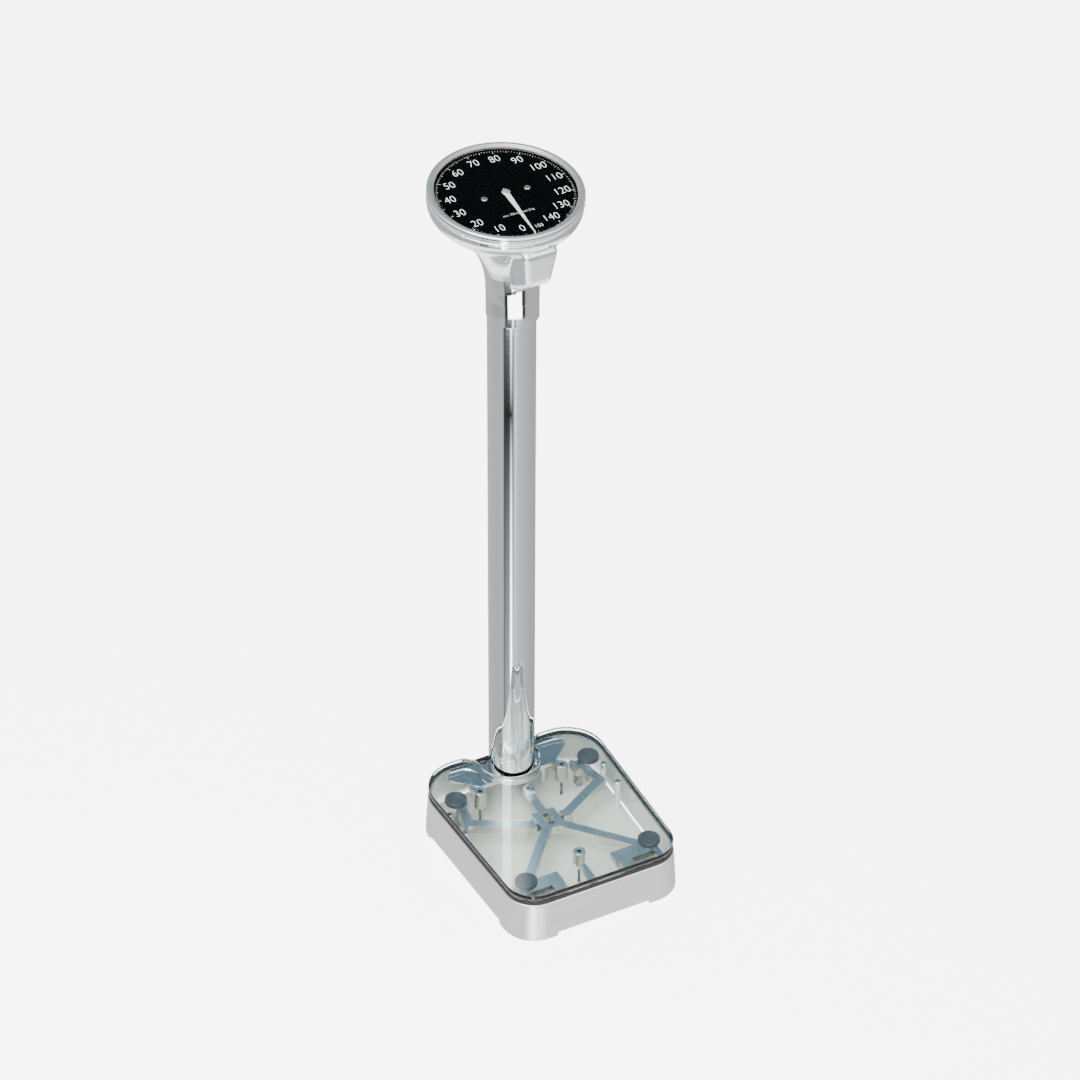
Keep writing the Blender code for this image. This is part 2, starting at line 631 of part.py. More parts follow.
def pivot_outline(y, half):
    return [(y - half, PIVOT_Z), (y, PIVOT_Z + half), (y + half, PIVOT_Z), (y, PIVOT_Z - half)]


def build_pivot(name, start, end, y, lever):
    """A knife-edge bar along X, let into its lever's ears with a small clearance."""
    bar_along_x(name, pivot_outline(y, PIVOT_HALF_DIAGONAL), start, end, hard_steel())
    socket = bar_along_x(name + "_socket", pivot_outline(y, PIVOT_HALF_DIAGONAL + GAP),
                         min(start, end) - GAP, max(start, end) + GAP, hard_steel())
    cut(lever, socket)


def build_stand(name, start, end, y):
    """A block on the floor with a V in its top for the knife edge."""
    half = STAND_DEPTH / 2
    depth = PIVOT_HALF_DIAGONAL + PIVOT_CLEARANCE
    top = PIVOT_Z
    outline = [(y - half, FLOOR_TOP + GAP), (y - half, top), (y - depth, top), (y, top - depth),
               (y + depth, top), (y + half, top), (y + half, FLOOR_TOP + GAP)]
    bar_along_x(name, outline, min(start, end), max(start, end), hard_steel())


def build_long_lever():
    """Front pivots, two arms, the slotted hub and the tail that pulls the draw rod."""
    hub_front = HUB_Y - HUB_HALF_LENGTH
    hub_rear = HUB_Y + HUB_HALF_LENGTH
    lever = arm("long_lever", (0.0, hub_rear - ARM_OVERLAP), (0.0, FORK_LENGTH / 2), TAIL_WIDTH)
    join(lever, lever_block("long_lever_hub", (-HUB_HALF_WIDTH, HUB_HALF_WIDTH), (hub_front, hub_rear)))
    for side in (-1, 1):
        build_front_plate(lever, side, hub_front)
    under = block("hub_underside_cut", (-2 * HUB_HALF_WIDTH, hub_front + HUB_FRONT_WALL, 0.0),
                  (2 * HUB_HALF_WIDTH, hub_rear - HUB_REAR_WALL, LEVER_TOP - HUB_PLATE), cast_alloy())
    slot = block("hub_slot_cut", (-HUB_SLOT_WIDTH / 2, HUB_Y - HUB_SLOT_LENGTH / 2, 0.0),
                 (HUB_SLOT_WIDTH / 2, HUB_Y + HUB_SLOT_LENGTH / 2, 2 * LEVER_TOP), cast_alloy())
    eye = bar_along_x("tail_eye_cut", arc((0.0, FORK_PIN_Z), FORK_HOLE_RADIUS, 0, 360, 16)[:-1],
                      -TAIL_WIDTH, TAIL_WIDTH, cast_alloy())
    cut(lever, under, slot, eye)


def build_front_plate(lever, side, hub_front):
    """One side's arm, its cross plate and the two ears that hold the knife edge."""
    tag = side_name(side)
    root = (side * (HUB_HALF_WIDTH - LEVER_WIDTH / 2), hub_front + ARM_OVERLAP)
    front_arm = arm("front_arm_" + tag, root, (side * FRONT_ARM_END.x, FRONT_ARM_END.y), LEVER_WIDTH)
    outer = side * FRONT_PLATE_OUTER
    plate = lever_block("front_plate_" + tag, (side * FRONT_PLATE_INNER, outer),
                        (FRONT_PLATE_FRONT, FRONT_PLATE_REAR), LEVER_TOP - FRONT_PLATE_THICKNESS)
    ear_ends = (LONG_PIVOT_Y - PIVOT_HALF_DIAGONAL - PIVOT_EAR_MARGIN, FRONT_PLATE_FRONT + ARM_OVERLAP)
    near = side * (FRONT_PLATE_INNER + INNER_EAR_INSET)
    far = near + side * INNER_EAR_WIDTH
    inner_ear = lever_block("inner_ear_" + tag, (near, far), ear_ends, top=LEVER_TOP + INNER_EAR_RISE)
    rim = outer - side * OUTER_EAR_WIDTH
    outer_ear = lever_block("outer_ear_" + tag, (rim, outer), ear_ends)
    join(lever, front_arm, plate, inner_ear, outer_ear)
    build_pivot("front_pivot_" + tag, near + side * 2 * PIVOT_EAR_MARGIN, outer - side * PIVOT_EAR_MARGIN,
                LONG_PIVOT_Y, lever)
    build_stand("front_stand_" + tag, far + side * STAND_SIDE_CLEARANCE, rim - side * STAND_SIDE_CLEARANCE,
                LONG_PIVOT_Y)


def build_short_lever():
    """Rear pivots, two cranked arms and the cross bar under the hub."""
    low = LEVER_BOTTOM - CROSS_BAR_DROP
    inner_x = HUB_HALF_WIDTH + ARM_OVERLAP
    outer_x = inner_x + LEVER_WIDTH
    bar_ends = (HUB_Y - CROSS_BAR_HALF_WIDTH, HUB_Y + CROSS_BAR_HALF_WIDTH)
    bar_top = LEVER_TOP - HUB_PLATE - HUB_CLEARANCE
    lever = lever_block("short_lever", (-outer_x, outer_x), bar_ends, low, bar_top)
    for side in (-1, 1):
        tag = side_name(side)
        elbow = (side * REAR_ELBOW.x, REAR_ELBOW.y)
        end = (side * REAR_ARM_END.x, REAR_ARM_END.y)
        riser = lever_block("short_lever_riser_" + tag, (side * inner_x, side * outer_x),
                            (bar_ends[0] + 1.0 * MM, bar_ends[1] + 1.0 * MM), low)
        inner_arm = arm("rear_arm_" + tag, (side * (inner_x + LEVER_WIDTH / 2), HUB_Y), elbow, LEVER_WIDTH)
        knee_radius = LEVER_WIDTH * 0.56
        knee = turned("rear_knee_" + tag, ((knee_radius, LEVER_BOTTOM), (knee_radius, LEVER_TOP)),
                      cast_alloy(), elbow, 16)
        outer_arm = arm("rear_arm_end_" + tag, elbow, end, LEVER_WIDTH)
        join(lever, riser, inner_arm, knee, outer_arm)
        build_rear_yoke(lever, tag, end[0])
    hole_x = LINK_WIDTH / 2 + LINK_SIDE_CLEARANCE
    hole_y = LINK_THICKNESS / 2 + LINK_SWING_CLEARANCE
    cut(lever, block("link_hole_cut", (-hole_x, HUB_Y - hole_y, 0.0), (hole_x, HUB_Y + hole_y, 2 * LEVER_TOP),
                     cast_alloy()))


def build_rear_yoke(lever, tag, x):
    """A rear arm's end: a yoke with two ears and the knife edge between them."""
    half = REAR_EAR_SPACING / 2
    inner = half - REAR_EAR_WIDTH
    yoke_rear = REAR_PAD.y + REAR_YOKE_HALF_LENGTH
    yoke_front = REAR_PAD.y - REAR_YOKE_HALF_LENGTH
    yoke = lever_block("rear_yoke_" + tag, (x - half, x + half), (yoke_front, yoke_rear))
    ear_ends = (REAR_PAD.y, SHORT_PIVOT_Y + PIVOT_HALF_DIAGONAL + PIVOT_EAR_MARGIN)
    near_ear = lever_block("rear_ear_%s_1" % tag, (x - half, x - inner), ear_ends)
    far_ear = lever_block("rear_ear_%s_2" % tag, (x + inner, x + half), ear_ends)
    join(lever, yoke, near_ear, far_ear)
    cut(lever, block("rear_stand_room_" + tag, (x - inner, yoke_rear + 1.0 * MM, 0.0),
                     (x + inner, 2 * PLATFORM_REAR, 2 * LEVER_TOP), cast_alloy()))
    build_pivot("rear_pivot_" + tag, x - half + PIVOT_EAR_MARGIN / 2, x + half - PIVOT_EAR_MARGIN / 2,
                SHORT_PIVOT_Y, lever)
    build_stand("rear_stand_" + tag, x - inner + STAND_SIDE_CLEARANCE, x + inner - STAND_SIDE_CLEARANCE,
                SHORT_PIVOT_Y)


def build_hub_link():
    """The T-headed link in the slot: its head lies on the long lever, its shank holds the short one."""
    half = LINK_THICKNESS / 2
    head_half = HUB_SLOT_WIDTH * 0.8
    link = block("hub_link", (-LINK_WIDTH / 2, HUB_Y - half, LEVER_TOP - LINK_HEIGHT),
                 (LINK_WIDTH / 2, HUB_Y + half, LEVER_TOP + LINK_HEAD_HEIGHT / 2), hard_steel())
    join(link, block("hub_link_head", (-head_half, HUB_Y - half, LEVER_TOP + GAP),
                     (head_half, HUB_Y + half, LEVER_TOP + LINK_HEAD_HEIGHT), hard_steel()))


def build_calibration_nut():
    """The slotted round weight that is turned along the tail to set the span."""
    bottom = LEVER_TOP + GAP
    nut = turned("calibration_nut", (
        (NUT_RADIUS, bottom), (NUT_RADIUS, bottom + NUT_HEIGHT * 0.85),
        (NUT_RADIUS * 0.86, bottom + NUT_HEIGHT), (NUT_HOLE_RADIUS, bottom + NUT_HEIGHT),
        (NUT_HOLE_RADIUS, bottom)), chrome(), (0.0, NUT_Y), 32, hollow=True)
    for k in range(NUT_SLOTS):
        angle = 2 * math.pi * k / NUT_SLOTS
        notch_floor = bottom + NUT_HEIGHT * 0.35
        notch = block("nut_notch_%d" % k, (NUT_RADIUS * 0.8, -NUT_SLOT_HALF_WIDTH, notch_floor),
                      (NUT_RADIUS * 1.3, NUT_SLOT_HALF_WIDTH, bottom + NUT_HEIGHT * 1.3), chrome())
        notch.rotation_euler.z = angle
        notch.location = (0.0, NUT_Y, 0.0)
        cut(nut, notch)


# ---------------------------------------------------------------- column and draw rod

def build_column():
    """The chromed tube and the flange that holds it to the bridge, flat at the rear."""
    base = BRIDGE_TOP + GAP
    inner = TUBE_RADIUS - TUBE_WALL
    turned("column_tube", ((TUBE_RADIUS, TUBE_TOP), (TUBE_RADIUS, base), (inner, base), (inner, TUBE_TOP)),
           chrome(), count=64, hollow=True)
    lip = TUBE_RADIUS + GAP
    flange = turned("column_flange", (
        (FLANGE_RADIUS, base), (FLANGE_RADIUS, base + 1.2 * MM), (FLANGE_RADIUS - 2.5 * MM, base + 2.2 * MM),
        (lip + 1.0 * MM, base + FLANGE_HEIGHT), (lip, base + FLANGE_HEIGHT), (lip, base)),
        chrome(), count=64, hollow=True)
    flat = PLATFORM_REAR - GASKET_INSET - GASKET_WIDTH - 2 * GAP
    cut(flange, block("flange_flat", (-FLANGE_RADIUS, flat, 0.0),
                      (FLANGE_RADIUS, flat + FLANGE_RADIUS, 2 * BRIDGE_TOP), chrome()))


def build_draw_rod():
    """The fork on the lever's tail, the rod, the collar that loads the spring and the top eye."""
    seat = BRIDGE_TOP + SPRING_LENGTH + 2 * GAP
    fork_top = BRIDGE_BOTTOM - FORK_TOP_CLEARANCE
    rod = turned("draw_rod", (
        (ROD_RADIUS, fork_top - 1.5 * MM), (ROD_RADIUS, seat), (ROD_COLLAR_RADIUS, seat),
        (ROD_COLLAR_RADIUS, seat + ROD_COLLAR_HEIGHT), (ROD_RADIUS, seat + ROD_COLLAR_HEIGHT + 4.0 * MM),
        (ROD_RADIUS, ROD_EYE_Z - 2 * EYE_WALL)), hard_steel(), count=16)
    inner = TAIL_WIDTH / 2 + FORK_SIDE_CLEARANCE
    outer = inner + FORK_CHEEK
    half = FORK_LENGTH / 2
    crown = block("fork_crown", (-outer, -half, LEVER_TOP + 1.0 * MM), (outer, half, fork_top), hard_steel())
    cheeks = []
    for side in (-1, 1):
        ends = (side * inner, side * outer)
        cheeks.append(block("fork_cheek_" + side_name(side), (min(ends), -half, FORK_PIN_Z - FORK_REACH),
                            (max(ends), half, LEVER_TOP + 2.0 * MM), hard_steel()))
    pin = bar_along_x("fork_pin", arc((0.0, FORK_PIN_Z), FORK_PIN_RADIUS, 0, 360, 12)[:-1],
                      -outer + FORK_CHEEK / 3, outer - FORK_CHEEK / 3, hard_steel())
    eye_bottom = ROD_EYE_Z - CRANK_SLOT_HALF - 2 * EYE_WALL
    eye = block("rod_eye", (-EYE_HALF_THICKNESS, -EYE_HALF_LENGTH, eye_bottom),
                (EYE_HALF_THICKNESS, EYE_HALF_LENGTH, ROD_EYE_Z + CRANK_SLOT_HALF + EYE_WALL), hard_steel())
    join(rod, crown, *cheeks, pin, eye)
    slot_half = EYE_HALF_LENGTH - EYE_WALL
    cut(rod, block("rod_eye_slot", (-EYE_HALF_LENGTH, -slot_half, ROD_EYE_Z - CRANK_SLOT_HALF),
                   (EYE_HALF_LENGTH, slot_half, ROD_EYE_Z + CRANK_SLOT_HALF), hard_steel()))


def build_spring():
    """A compression coil between the bridge and the rod's collar."""
    steps = SPRING_TURNS * SPRING_STEPS_PER_TURN
    base = BRIDGE_TOP + GAP + SPRING_WIRE_RADIUS
    rise = SPRING_LENGTH - 2 * SPRING_WIRE_RADIUS
    centre_line = bpy.data.curves.new("main_spring", "CURVE")
    centre_line.dimensions = "3D"
    centre_line.bevel_depth = SPRING_WIRE_RADIUS
    centre_line.bevel_resolution = 1
    centre_line.use_fill_caps = True
    wire = centre_line.splines.new("POLY")
    wire.points.add(steps)
    for k, point in enumerate(wire.points):
        share = k / steps
        angle = 2 * math.pi * SPRING_TURNS * share
        climb = base + rise * (share - math.sin(2 * math.pi * share) / (2 * math.pi))
        point.co = (SPRING_RADIUS * math.cos(angle), SPRING_RADIUS * math.sin(angle), climb, 1.0)
    centre_line.materials.append(hard_steel())
    spring = bpy.data.objects.new("main_spring", centre_line)
    bpy.context.collection.objects.link(spring)


# ---------------------------------------------------------------- head

def stadium(radius, forward, height, centre_y, lean=0.0, count=64):
    """A circle whose front half is moved forward, leaned about its centre."""
    ring = []
    for x, y in arc((0.0, 0.0), radius, 0, 360, count)[:-1]:
        y -= forward if y < -1e-6 else 0.0
        ring.append((x, centre_y + y * math.cos(lean), height + y * math.sin(lean)))
    return ring


def casting_rings():
    """Rings from the collar up to the drum's seam, leaning more and more like the dial."""
    # depth below the face, radius beyond the collar's, share of the dial's lean
    flare = (
        (DIAL_HEIGHT - COLLAR_BOTTOM, 0.0, 0.0),
        (150.0 * MM, 0.0, 0.0),
        (128.0 * MM, 0.6 * MM, 0.02),
        (110.0 * MM, 2.8 * MM, 0.08),
        (95.0 * MM, 6.8 * MM, 0.17),
        (82.0 * MM, 12.2 * MM, 0.28),
        (71.0 * MM, 19.0 * MM, 0.42),
        (61.0 * MM, 27.0 * MM, 0.58),
        (53.0 * MM, 34.0 * MM, 0.74),
        (46.0 * MM, 42.0 * MM, 0.88),
        (39.0 * MM, 53.0 * MM, 1.0),
        (31.0 * MM, 63.5 * MM, 1.0),
        (22.0 * MM, 71.2 * MM, 1.0),
        (13.0 * MM, DRUM_RADIUS - COLLAR_RADIUS, 1.0),
        (DRUM_SEAM + 1.0 * MM, DRUM_RADIUS - COLLAR_RADIUS, 1.0),
        (DRUM_SEAM, DRUM_RADIUS - COLLAR_RADIUS - 1.0 * MM, 1.0),
    )
    rings = []
    for depth, wider, share in flare:
        lean = DIAL_LEAN * share
        centre_y = share * (DIAL_SETBACK + depth * math.sin(DIAL_LEAN))
        height = DIAL_HEIGHT - depth * (1 - share + share * math.cos(DIAL_LEAN))
        rings.append(stadium(COLLAR_RADIUS + wider, COLLAR_FORWARD * (1 - share), height, centre_y, lean))
    return rings


def build_head_casting(dial):
    """Collar, trumpet neck, chin and drum in one hollow casting."""
    casting = loft("head_casting", casting_rings(), chrome())
    join(casting, build_chin())

    cavity_radius = DRUM_RADIUS - DRUM_WALL
    cavity = turned("drum_cavity", (
        (cavity_radius, 2 * BEZEL_HEIGHT), (cavity_radius, -DRUM_FLOOR + 10.0 * MM),
        (cavity_radius - 6.0 * MM, -DRUM_FLOOR + 4.0 * MM), (cavity_radius - 16.0 * MM, -DRUM_FLOOR)),
        chrome(), count=48, parent=dial)
    socket_radius = TUBE_RADIUS + SOCKET_CLEARANCE
    socket_ends = ((socket_radius, COLLAR_BOTTOM - TUBE_WALL), (socket_radius, TUBE_TOP + GAP))
    socket = turned("tube_socket", socket_ends, chrome(), count=64)
    bore = loft("neck_bore", [stadium(NECK_BORE_RADIUS, NECK_BORE_FORWARD, z, 0.0, count=32)
                              for z in (TUBE_TOP - TUBE_WALL, DIAL_HEIGHT)], chrome())
    bay = block("crank_bay", (-CRANK_BAY_HALF_WIDTH, -CRANK_BAY_FRONT, CRANK_BAY_BOTTOM),
                (CRANK_BAY_HALF_WIDTH, 0.0, DIAL_HEIGHT), chrome())
    cut(casting, cavity, socket, bore, bay)


def build_chin():
    """The flared block under the front of the drum, which houses the bell crank."""
    build = bmesh.new()
    rear = -NECK_BORE_RADIUS / 2
    sections = (
        (-CHIN_FRONT, CHIN_BOTTOM, -CHIN_TOP_FRONT, CHIN_HALF_WIDTH, CHIN_TOP_HALF_WIDTH),
        (rear, CHIN_HEEL, rear, CHIN_HALF_WIDTH, CHIN_TOP_HALF_WIDTH),
    )
    rings = []
    for low_y, low_z, high_y, low_half, high_half in sections:
        corners = ((-low_half, low_y, low_z), (low_half, low_y, low_z),
                   (high_half, high_y, CHIN_TOP), (-high_half, high_y, CHIN_TOP))
        rings.append([build.verts.new(corner) for corner in corners])
    front, back = rings
    for k in range(4):
        build.faces.new((front[k - 1], front[k], back[k], back[k - 1]))
    build.faces.new(front)
    build.faces.new(back)
    chin = finish("chin_body", build, chrome())
    rounding = chin.modifiers.new("rounding", "BEVEL")
    rounding.width = CHIN_ROUNDING
    rounding.segments = 3
    rounding.limit_method = "NONE"
    return chin


def build_bezel(dial):
    """The bezel with the crystal in it and the screws that hold it to the drum."""
    seam = -DRUM_SEAM + GAP
    top = BEZEL_HEIGHT
    outer = DRUM_RADIUS
    groove = FACE_RADIUS + FACE_EDGE_CLEARANCE
    turned("bezel_ring", (
        (outer - 0.8 * MM, seam), (outer, seam + 0.8 * MM), (outer, top - 5.0 * MM),
        (outer - 1.0 * MM, top - 2.3 * MM), (outer - 3.2 * MM, top - 0.5 * MM), (outer - 5.6 * MM, top),
        (BEZEL_OPENING + 1.2 * MM, top - 0.4 * MM), (BEZEL_OPENING, top - 1.3 * MM),
        (BEZEL_OPENING, FACE_EDGE_CLEARANCE), (groove, FACE_EDGE_CLEARANCE), (groove, seam)),
        chrome(), count=72, parent=dial, hollow=True)
    turned("dial_crystal", ((BEZEL_OPENING - GAP, CRYSTAL_HEIGHT),
                            (BEZEL_OPENING - GAP, CRYSTAL_HEIGHT + CRYSTAL_THICKNESS)), clear_glass(),
           count=64, parent=dial)
    for angle in BEZEL_SCREW_ANGLES:
        screw = turned("bezel_screw_%d" % angle, (
            (BEZEL_SCREW_RADIUS, 0.0), (BEZEL_SCREW_RADIUS, BEZEL_SCREW_STANDOFF * 0.7),
            (BEZEL_SCREW_RADIUS * 0.7, BEZEL_SCREW_STANDOFF)), hard_steel(), count=16, parent=dial)
        around = Matrix.Rotation(math.radians(angle - 90), 4, "Z")
        outward = Matrix.Translation((DRUM_RADIUS + GAP, 0.0, -BEZEL_SCREW_DEPTH))
        screw.matrix_local = around @ outward @ Matrix.Rotation(math.pi / 2, 4, "Y")


def build_face(dial):
    """The dial plate and its two screws."""
    face = turned("dial_face", ((FACE_RADIUS, -FACE_THICKNESS), (FACE_RADIUS, 0.0)), black_enamel(), count=64,
                  parent=dial)
    cut(face, drill("arbor_hole", ARBOR_HOLE_RADIUS, -2 * FACE_THICKNESS, FACE_THICKNESS, parent=dial))
    for side in (-1, 1):
        turned("face_screw_" + side_name(side), (
            (FACE_SCREW_RADIUS, GAP), (FACE_SCREW_RADIUS, 1.0 * MM), (FACE_SCREW_RADIUS * 0.6, 1.8 * MM)),
            hard_steel(), (side * FACE_SCREW_X, 0.0), 20, parent=dial)


def build_movement(dial):
    """The brass frame that stands on the drum's floor under the face."""
    top = -MOVEMENT_PLATE_TOP
    underside = top - MOVEMENT_PLATE_THICKNESS
    plate = block("movement_frame", (-MOVEMENT_HALF_LENGTH, -MOVEMENT_HALF_WIDTH, underside),
                  (MOVEMENT_HALF_LENGTH, MOVEMENT_HALF_WIDTH, top), brass(), dial)
    for side in (-1, 1):
        join(plate, turned("movement_post_" + side_name(side), (
            (MOVEMENT_POST_RADIUS, -DRUM_FLOOR + GAP),
            (MOVEMENT_POST_RADIUS, top - MOVEMENT_PLATE_THICKNESS / 2)),
            brass(), (side * MOVEMENT_POST_X, 0.0), 16, parent=dial))
    cut(plate, drill("movement_hole", ARBOR_HOLE_RADIUS, 2 * top, 0.0, parent=dial))


def build_pinion(dial):
    profile = []
    for k in range(2 * PINION_TEETH):
        reach = PINION_RADIUS + (PINION_TOOTH if k % 2 else -PINION_TOOTH)
        angle = math.pi * k / PINION_TEETH
        profile.append((reach * math.cos(angle), reach * math.sin(angle)))
    bottom = -PINION_TOP - PINION_THICKNESS
    pinion = prism("pinion", profile, bottom, -PINION_TOP, brass(), dial)
    join(pinion, turned("arbor", ((ARBOR_RADIUS, bottom - 2.0 * MM), (ARBOR_RADIUS, POINTER_HEIGHT - GAP)),
                        brass(), count=16, parent=dial))


def build_rack(dial):
    """The bar beside the pinion, with a slotted tab for the bell crank's upper pin."""
    far = RACK_NEAR - RACK_WIDTH
    slot_y = ((CRANK_PIN_Y - DIAL_SETBACK) * math.cos(DIAL_LEAN)
              + (CRANK_PIN_Z - DIAL_HEIGHT) * math.sin(DIAL_LEAN))
    tab_front = slot_y - RACK_TAB_HALF_LENGTH
    tab_rear = slot_y + RACK_TAB_HALF_LENGTH
    bar = block("rack", (far, tab_front, -RACK_DEPTH - RACK_THICKNESS / 2),
                (RACK_NEAR, RACK_END, -RACK_DEPTH + RACK_THICKNESS / 2), brass(), dial)
    tab_bottom = -RACK_DEPTH - RACK_TAB_DROP
    join(bar, block("rack_tab", (far, tab_front, tab_bottom), (RACK_NEAR, tab_rear, -RACK_DEPTH),
                    brass(), dial))
    cut(bar, block("rack_slot", (far - RACK_WIDTH, slot_y - CRANK_SLOT_HALF, tab_bottom + 2.5 * MM),
                   (RACK_NEAR + RACK_WIDTH, slot_y + CRANK_SLOT_HALF, -RACK_DEPTH + CRANK_PIN_RADIUS),
                   brass(), dial))


def build_crank():
    """Bell crank in the chin: the rear arm follows the rod, the upper arm pushes the rack."""
    pivot = Vector((CRANK_PIVOT_Y, CRANK_PIVOT_Z))
    shaft_half = CRANK_BAY_HALF_WIDTH - 1.0 * MM
    shaft_outline = arc(pivot, CRANK_ARM_WIDTH / 2, 0, 360, 20)[:-1]
    shaft = bar_along_x("bell_crank", shaft_outline, -shaft_half, shaft_half, hard_steel())
    for name, angle, face, pin_end in (
            ("rear", CRANK_START, CRANK_REAR_FACE, -2 * EYE_HALF_THICKNESS),
            ("upper", math.pi / 2 + CRANK_START, CRANK_UPPER_FACE, RACK_NEAR - RACK_WIDTH - 1.5 * MM)):
        along = Vector((math.cos(angle), math.sin(angle)))
        pin_centre = pivot + CRANK_ARM * along
        outline = strip(pivot, pin_centre + CRANK_ARM_WIDTH * 0.43 * along, CRANK_ARM_WIDTH)
        beam = bar_along_x("crank_arm_" + name, outline, face, face + CRANK_THICKNESS, hard_steel())
        pin = bar_along_x("crank_pin_" + name, arc(pin_centre, CRANK_PIN_RADIUS, 0, 360, 12)[:-1],
                          pin_end, face + CRANK_THICKNESS - 0.5 * MM, hard_steel())
        join(shaft, beam, pin)


def build_pointer(dial):
    """A kite-shaped hand on a small boss, turned to its resting angle."""
    base = POINTER_HEIGHT
    top = base + POINTER_THICKNESS
    half = POINTER_HALF_WIDTH
    tip = POINTER_TIP_HALF_WIDTH
    outline = [(tip, -POINTER_LENGTH), (half, 0.0), (0.0, POINTER_TAIL), (-half, 0.0),
               (-tip, -POINTER_LENGTH)]
    pointer = prism("pointer", outline, base, top, white_enamel(), dial)
    hub = turned("pointer_hub", ((POINTER_HUB_RADIUS, base), (POINTER_HUB_RADIUS, top + 0.6 * MM),
                                 (POINTER_HUB_RADIUS * 0.6, top + 1.4 * MM)), white_enamel(), count=24,
                 parent=pointer)
    join(pointer, hub)
    pointer.rotation_euler.z = -POINTER_REST


def build_head():
    """Everything above the column, most of it built in the dial's own leaning frame."""
    dial = bpy.data.objects.new("dial_frame", None)
    bpy.context.collection.objects.link(dial)
    dial.location = (0.0, DIAL_SETBACK, DIAL_HEIGHT)
    dial.rotation_euler.x = DIAL_LEAN
    build_head_casting(dial)
    build_bezel(dial)
    build_face(dial)
    build_movement(dial)
    build_pinion(dial)
    build_rack(dial)
    build_crank()
    build_pointer(dial)


# ---------------------------------------------------------------- assembly

def centre_on_floor():
    """Move everything so that the origin is at the bottom centre of the whole scale."""
    bpy.context.view_layer.update()
    graph = bpy.context.evaluated_depsgraph_get()
    shown = [item for item in bpy.context.scene.objects if item.type != "EMPTY" and not item.hide_render]
    depths = []
    for item in shown:
        evaluated = item.evaluated_get(graph)
        mesh = evaluated.to_mesh()
        depths += [(item.matrix_world @ vertex.co).y for vertex in mesh.vertices]
        evaluated.to_mesh_clear()
    shift = -(min(depths) + max(depths)) / 2
    for item in bpy.context.scene.objects:
        if item.parent is None:
            item.location.y += shift


def main():
    for item in list(bpy.data.objects):
        bpy.data.objects.remove(item)
    build_shell()
    build_floor()
    build_levelling()
    build_bridge()
    build_platform()
    build_long_lever()
    build_short_lever()
    build_hub_link()
    build_calibration_nut()
    build_column()
    build_draw_rod()
    build_spring()
    build_head()
    centre_on_floor()


main()
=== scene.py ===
"""Looks of a column dial scale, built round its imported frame.

Every piece reads its place and size from the frame: the column's axis, the dial's leaning plane and
the boxes of the frame's nodes. Metres, +Z up, the user stands on the -Y side.
"""

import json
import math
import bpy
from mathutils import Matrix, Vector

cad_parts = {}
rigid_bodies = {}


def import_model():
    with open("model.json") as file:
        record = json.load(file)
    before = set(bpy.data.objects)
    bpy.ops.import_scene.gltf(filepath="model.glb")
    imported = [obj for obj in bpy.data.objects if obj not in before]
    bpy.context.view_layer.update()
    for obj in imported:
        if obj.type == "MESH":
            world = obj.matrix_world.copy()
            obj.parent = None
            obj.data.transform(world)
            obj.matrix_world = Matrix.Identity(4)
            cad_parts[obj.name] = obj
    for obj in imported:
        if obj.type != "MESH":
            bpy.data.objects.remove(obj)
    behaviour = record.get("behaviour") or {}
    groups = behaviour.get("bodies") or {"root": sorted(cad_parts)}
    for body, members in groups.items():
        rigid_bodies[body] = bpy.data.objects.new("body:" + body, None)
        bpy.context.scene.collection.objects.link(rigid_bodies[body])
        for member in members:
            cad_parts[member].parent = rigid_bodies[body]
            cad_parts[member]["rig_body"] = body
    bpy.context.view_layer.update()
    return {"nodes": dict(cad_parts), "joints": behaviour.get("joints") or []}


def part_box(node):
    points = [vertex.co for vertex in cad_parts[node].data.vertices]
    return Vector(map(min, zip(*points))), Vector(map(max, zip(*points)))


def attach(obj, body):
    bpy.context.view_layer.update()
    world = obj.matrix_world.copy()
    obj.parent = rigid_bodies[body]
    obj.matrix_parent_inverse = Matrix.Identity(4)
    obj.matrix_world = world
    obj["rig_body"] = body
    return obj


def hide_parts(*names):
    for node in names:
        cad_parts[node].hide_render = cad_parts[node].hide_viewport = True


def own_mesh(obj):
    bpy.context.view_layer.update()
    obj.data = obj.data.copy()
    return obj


bl_info = {
    "name": "Column Dial Scale",
    "version": (1, 0, 0),
    "blender": (4, 5, 0),
    "location": "View3D > Sidebar > Dial Scale",
    "description": "Builds the finished pieces of a column scale with a glass platform and a round dial",
    "category": "Add Mesh",
}

import bpy
from bpy.props import FloatProperty, FloatVectorProperty, IntProperty, PointerProperty
from bpy.types import Operator, Panel, PropertyGroup
from mathutils import Matrix, Vector

MM = 0.001

# Heights above the face in the dial's own frame.
BEZEL_TOP = 8.0 * MM
BEZEL_SEAM = -2.7 * MM
CRYSTAL_TOP = 6.6 * MM
CRYSTAL_UNDERSIDE = 5.0 * MM
FACE_THICKNESS = 2.0 * MM

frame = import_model()


def linear(code):
    """Linear RGB of an sRGB hex colour."""
    channels = [int(code[k:k + 2], 16) / 255 for k in (1, 3, 5)]
    return tuple(c / 12.92 if c <= 0.04045 else ((c + 0.055) / 1.055) ** 2.4 for c in channels)


def middle(node):
    low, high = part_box(node)
    return (low + high) / 2


def half_size(node):
    low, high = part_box(node)
    return (high - low) / 2


def joint(name):
    return next(entry for entry in frame["joints"] if entry["name"] == name)


# The column's axis and the dial's own frame: origin at the middle of the face, +Z out of the glass.
AXIS_Y = middle("column_tube").y
DIAL_TURN = joint("pointer_turn")
DIAL_LEAN = math.atan2(DIAL_TURN["axis"][1], -DIAL_TURN["axis"][2])
DIAL = Matrix.Translation(DIAL_TURN["pos_m"]) @ Matrix.Rotation(DIAL_LEAN, 4, "X")


# ---------------------------------------------------------------- settings

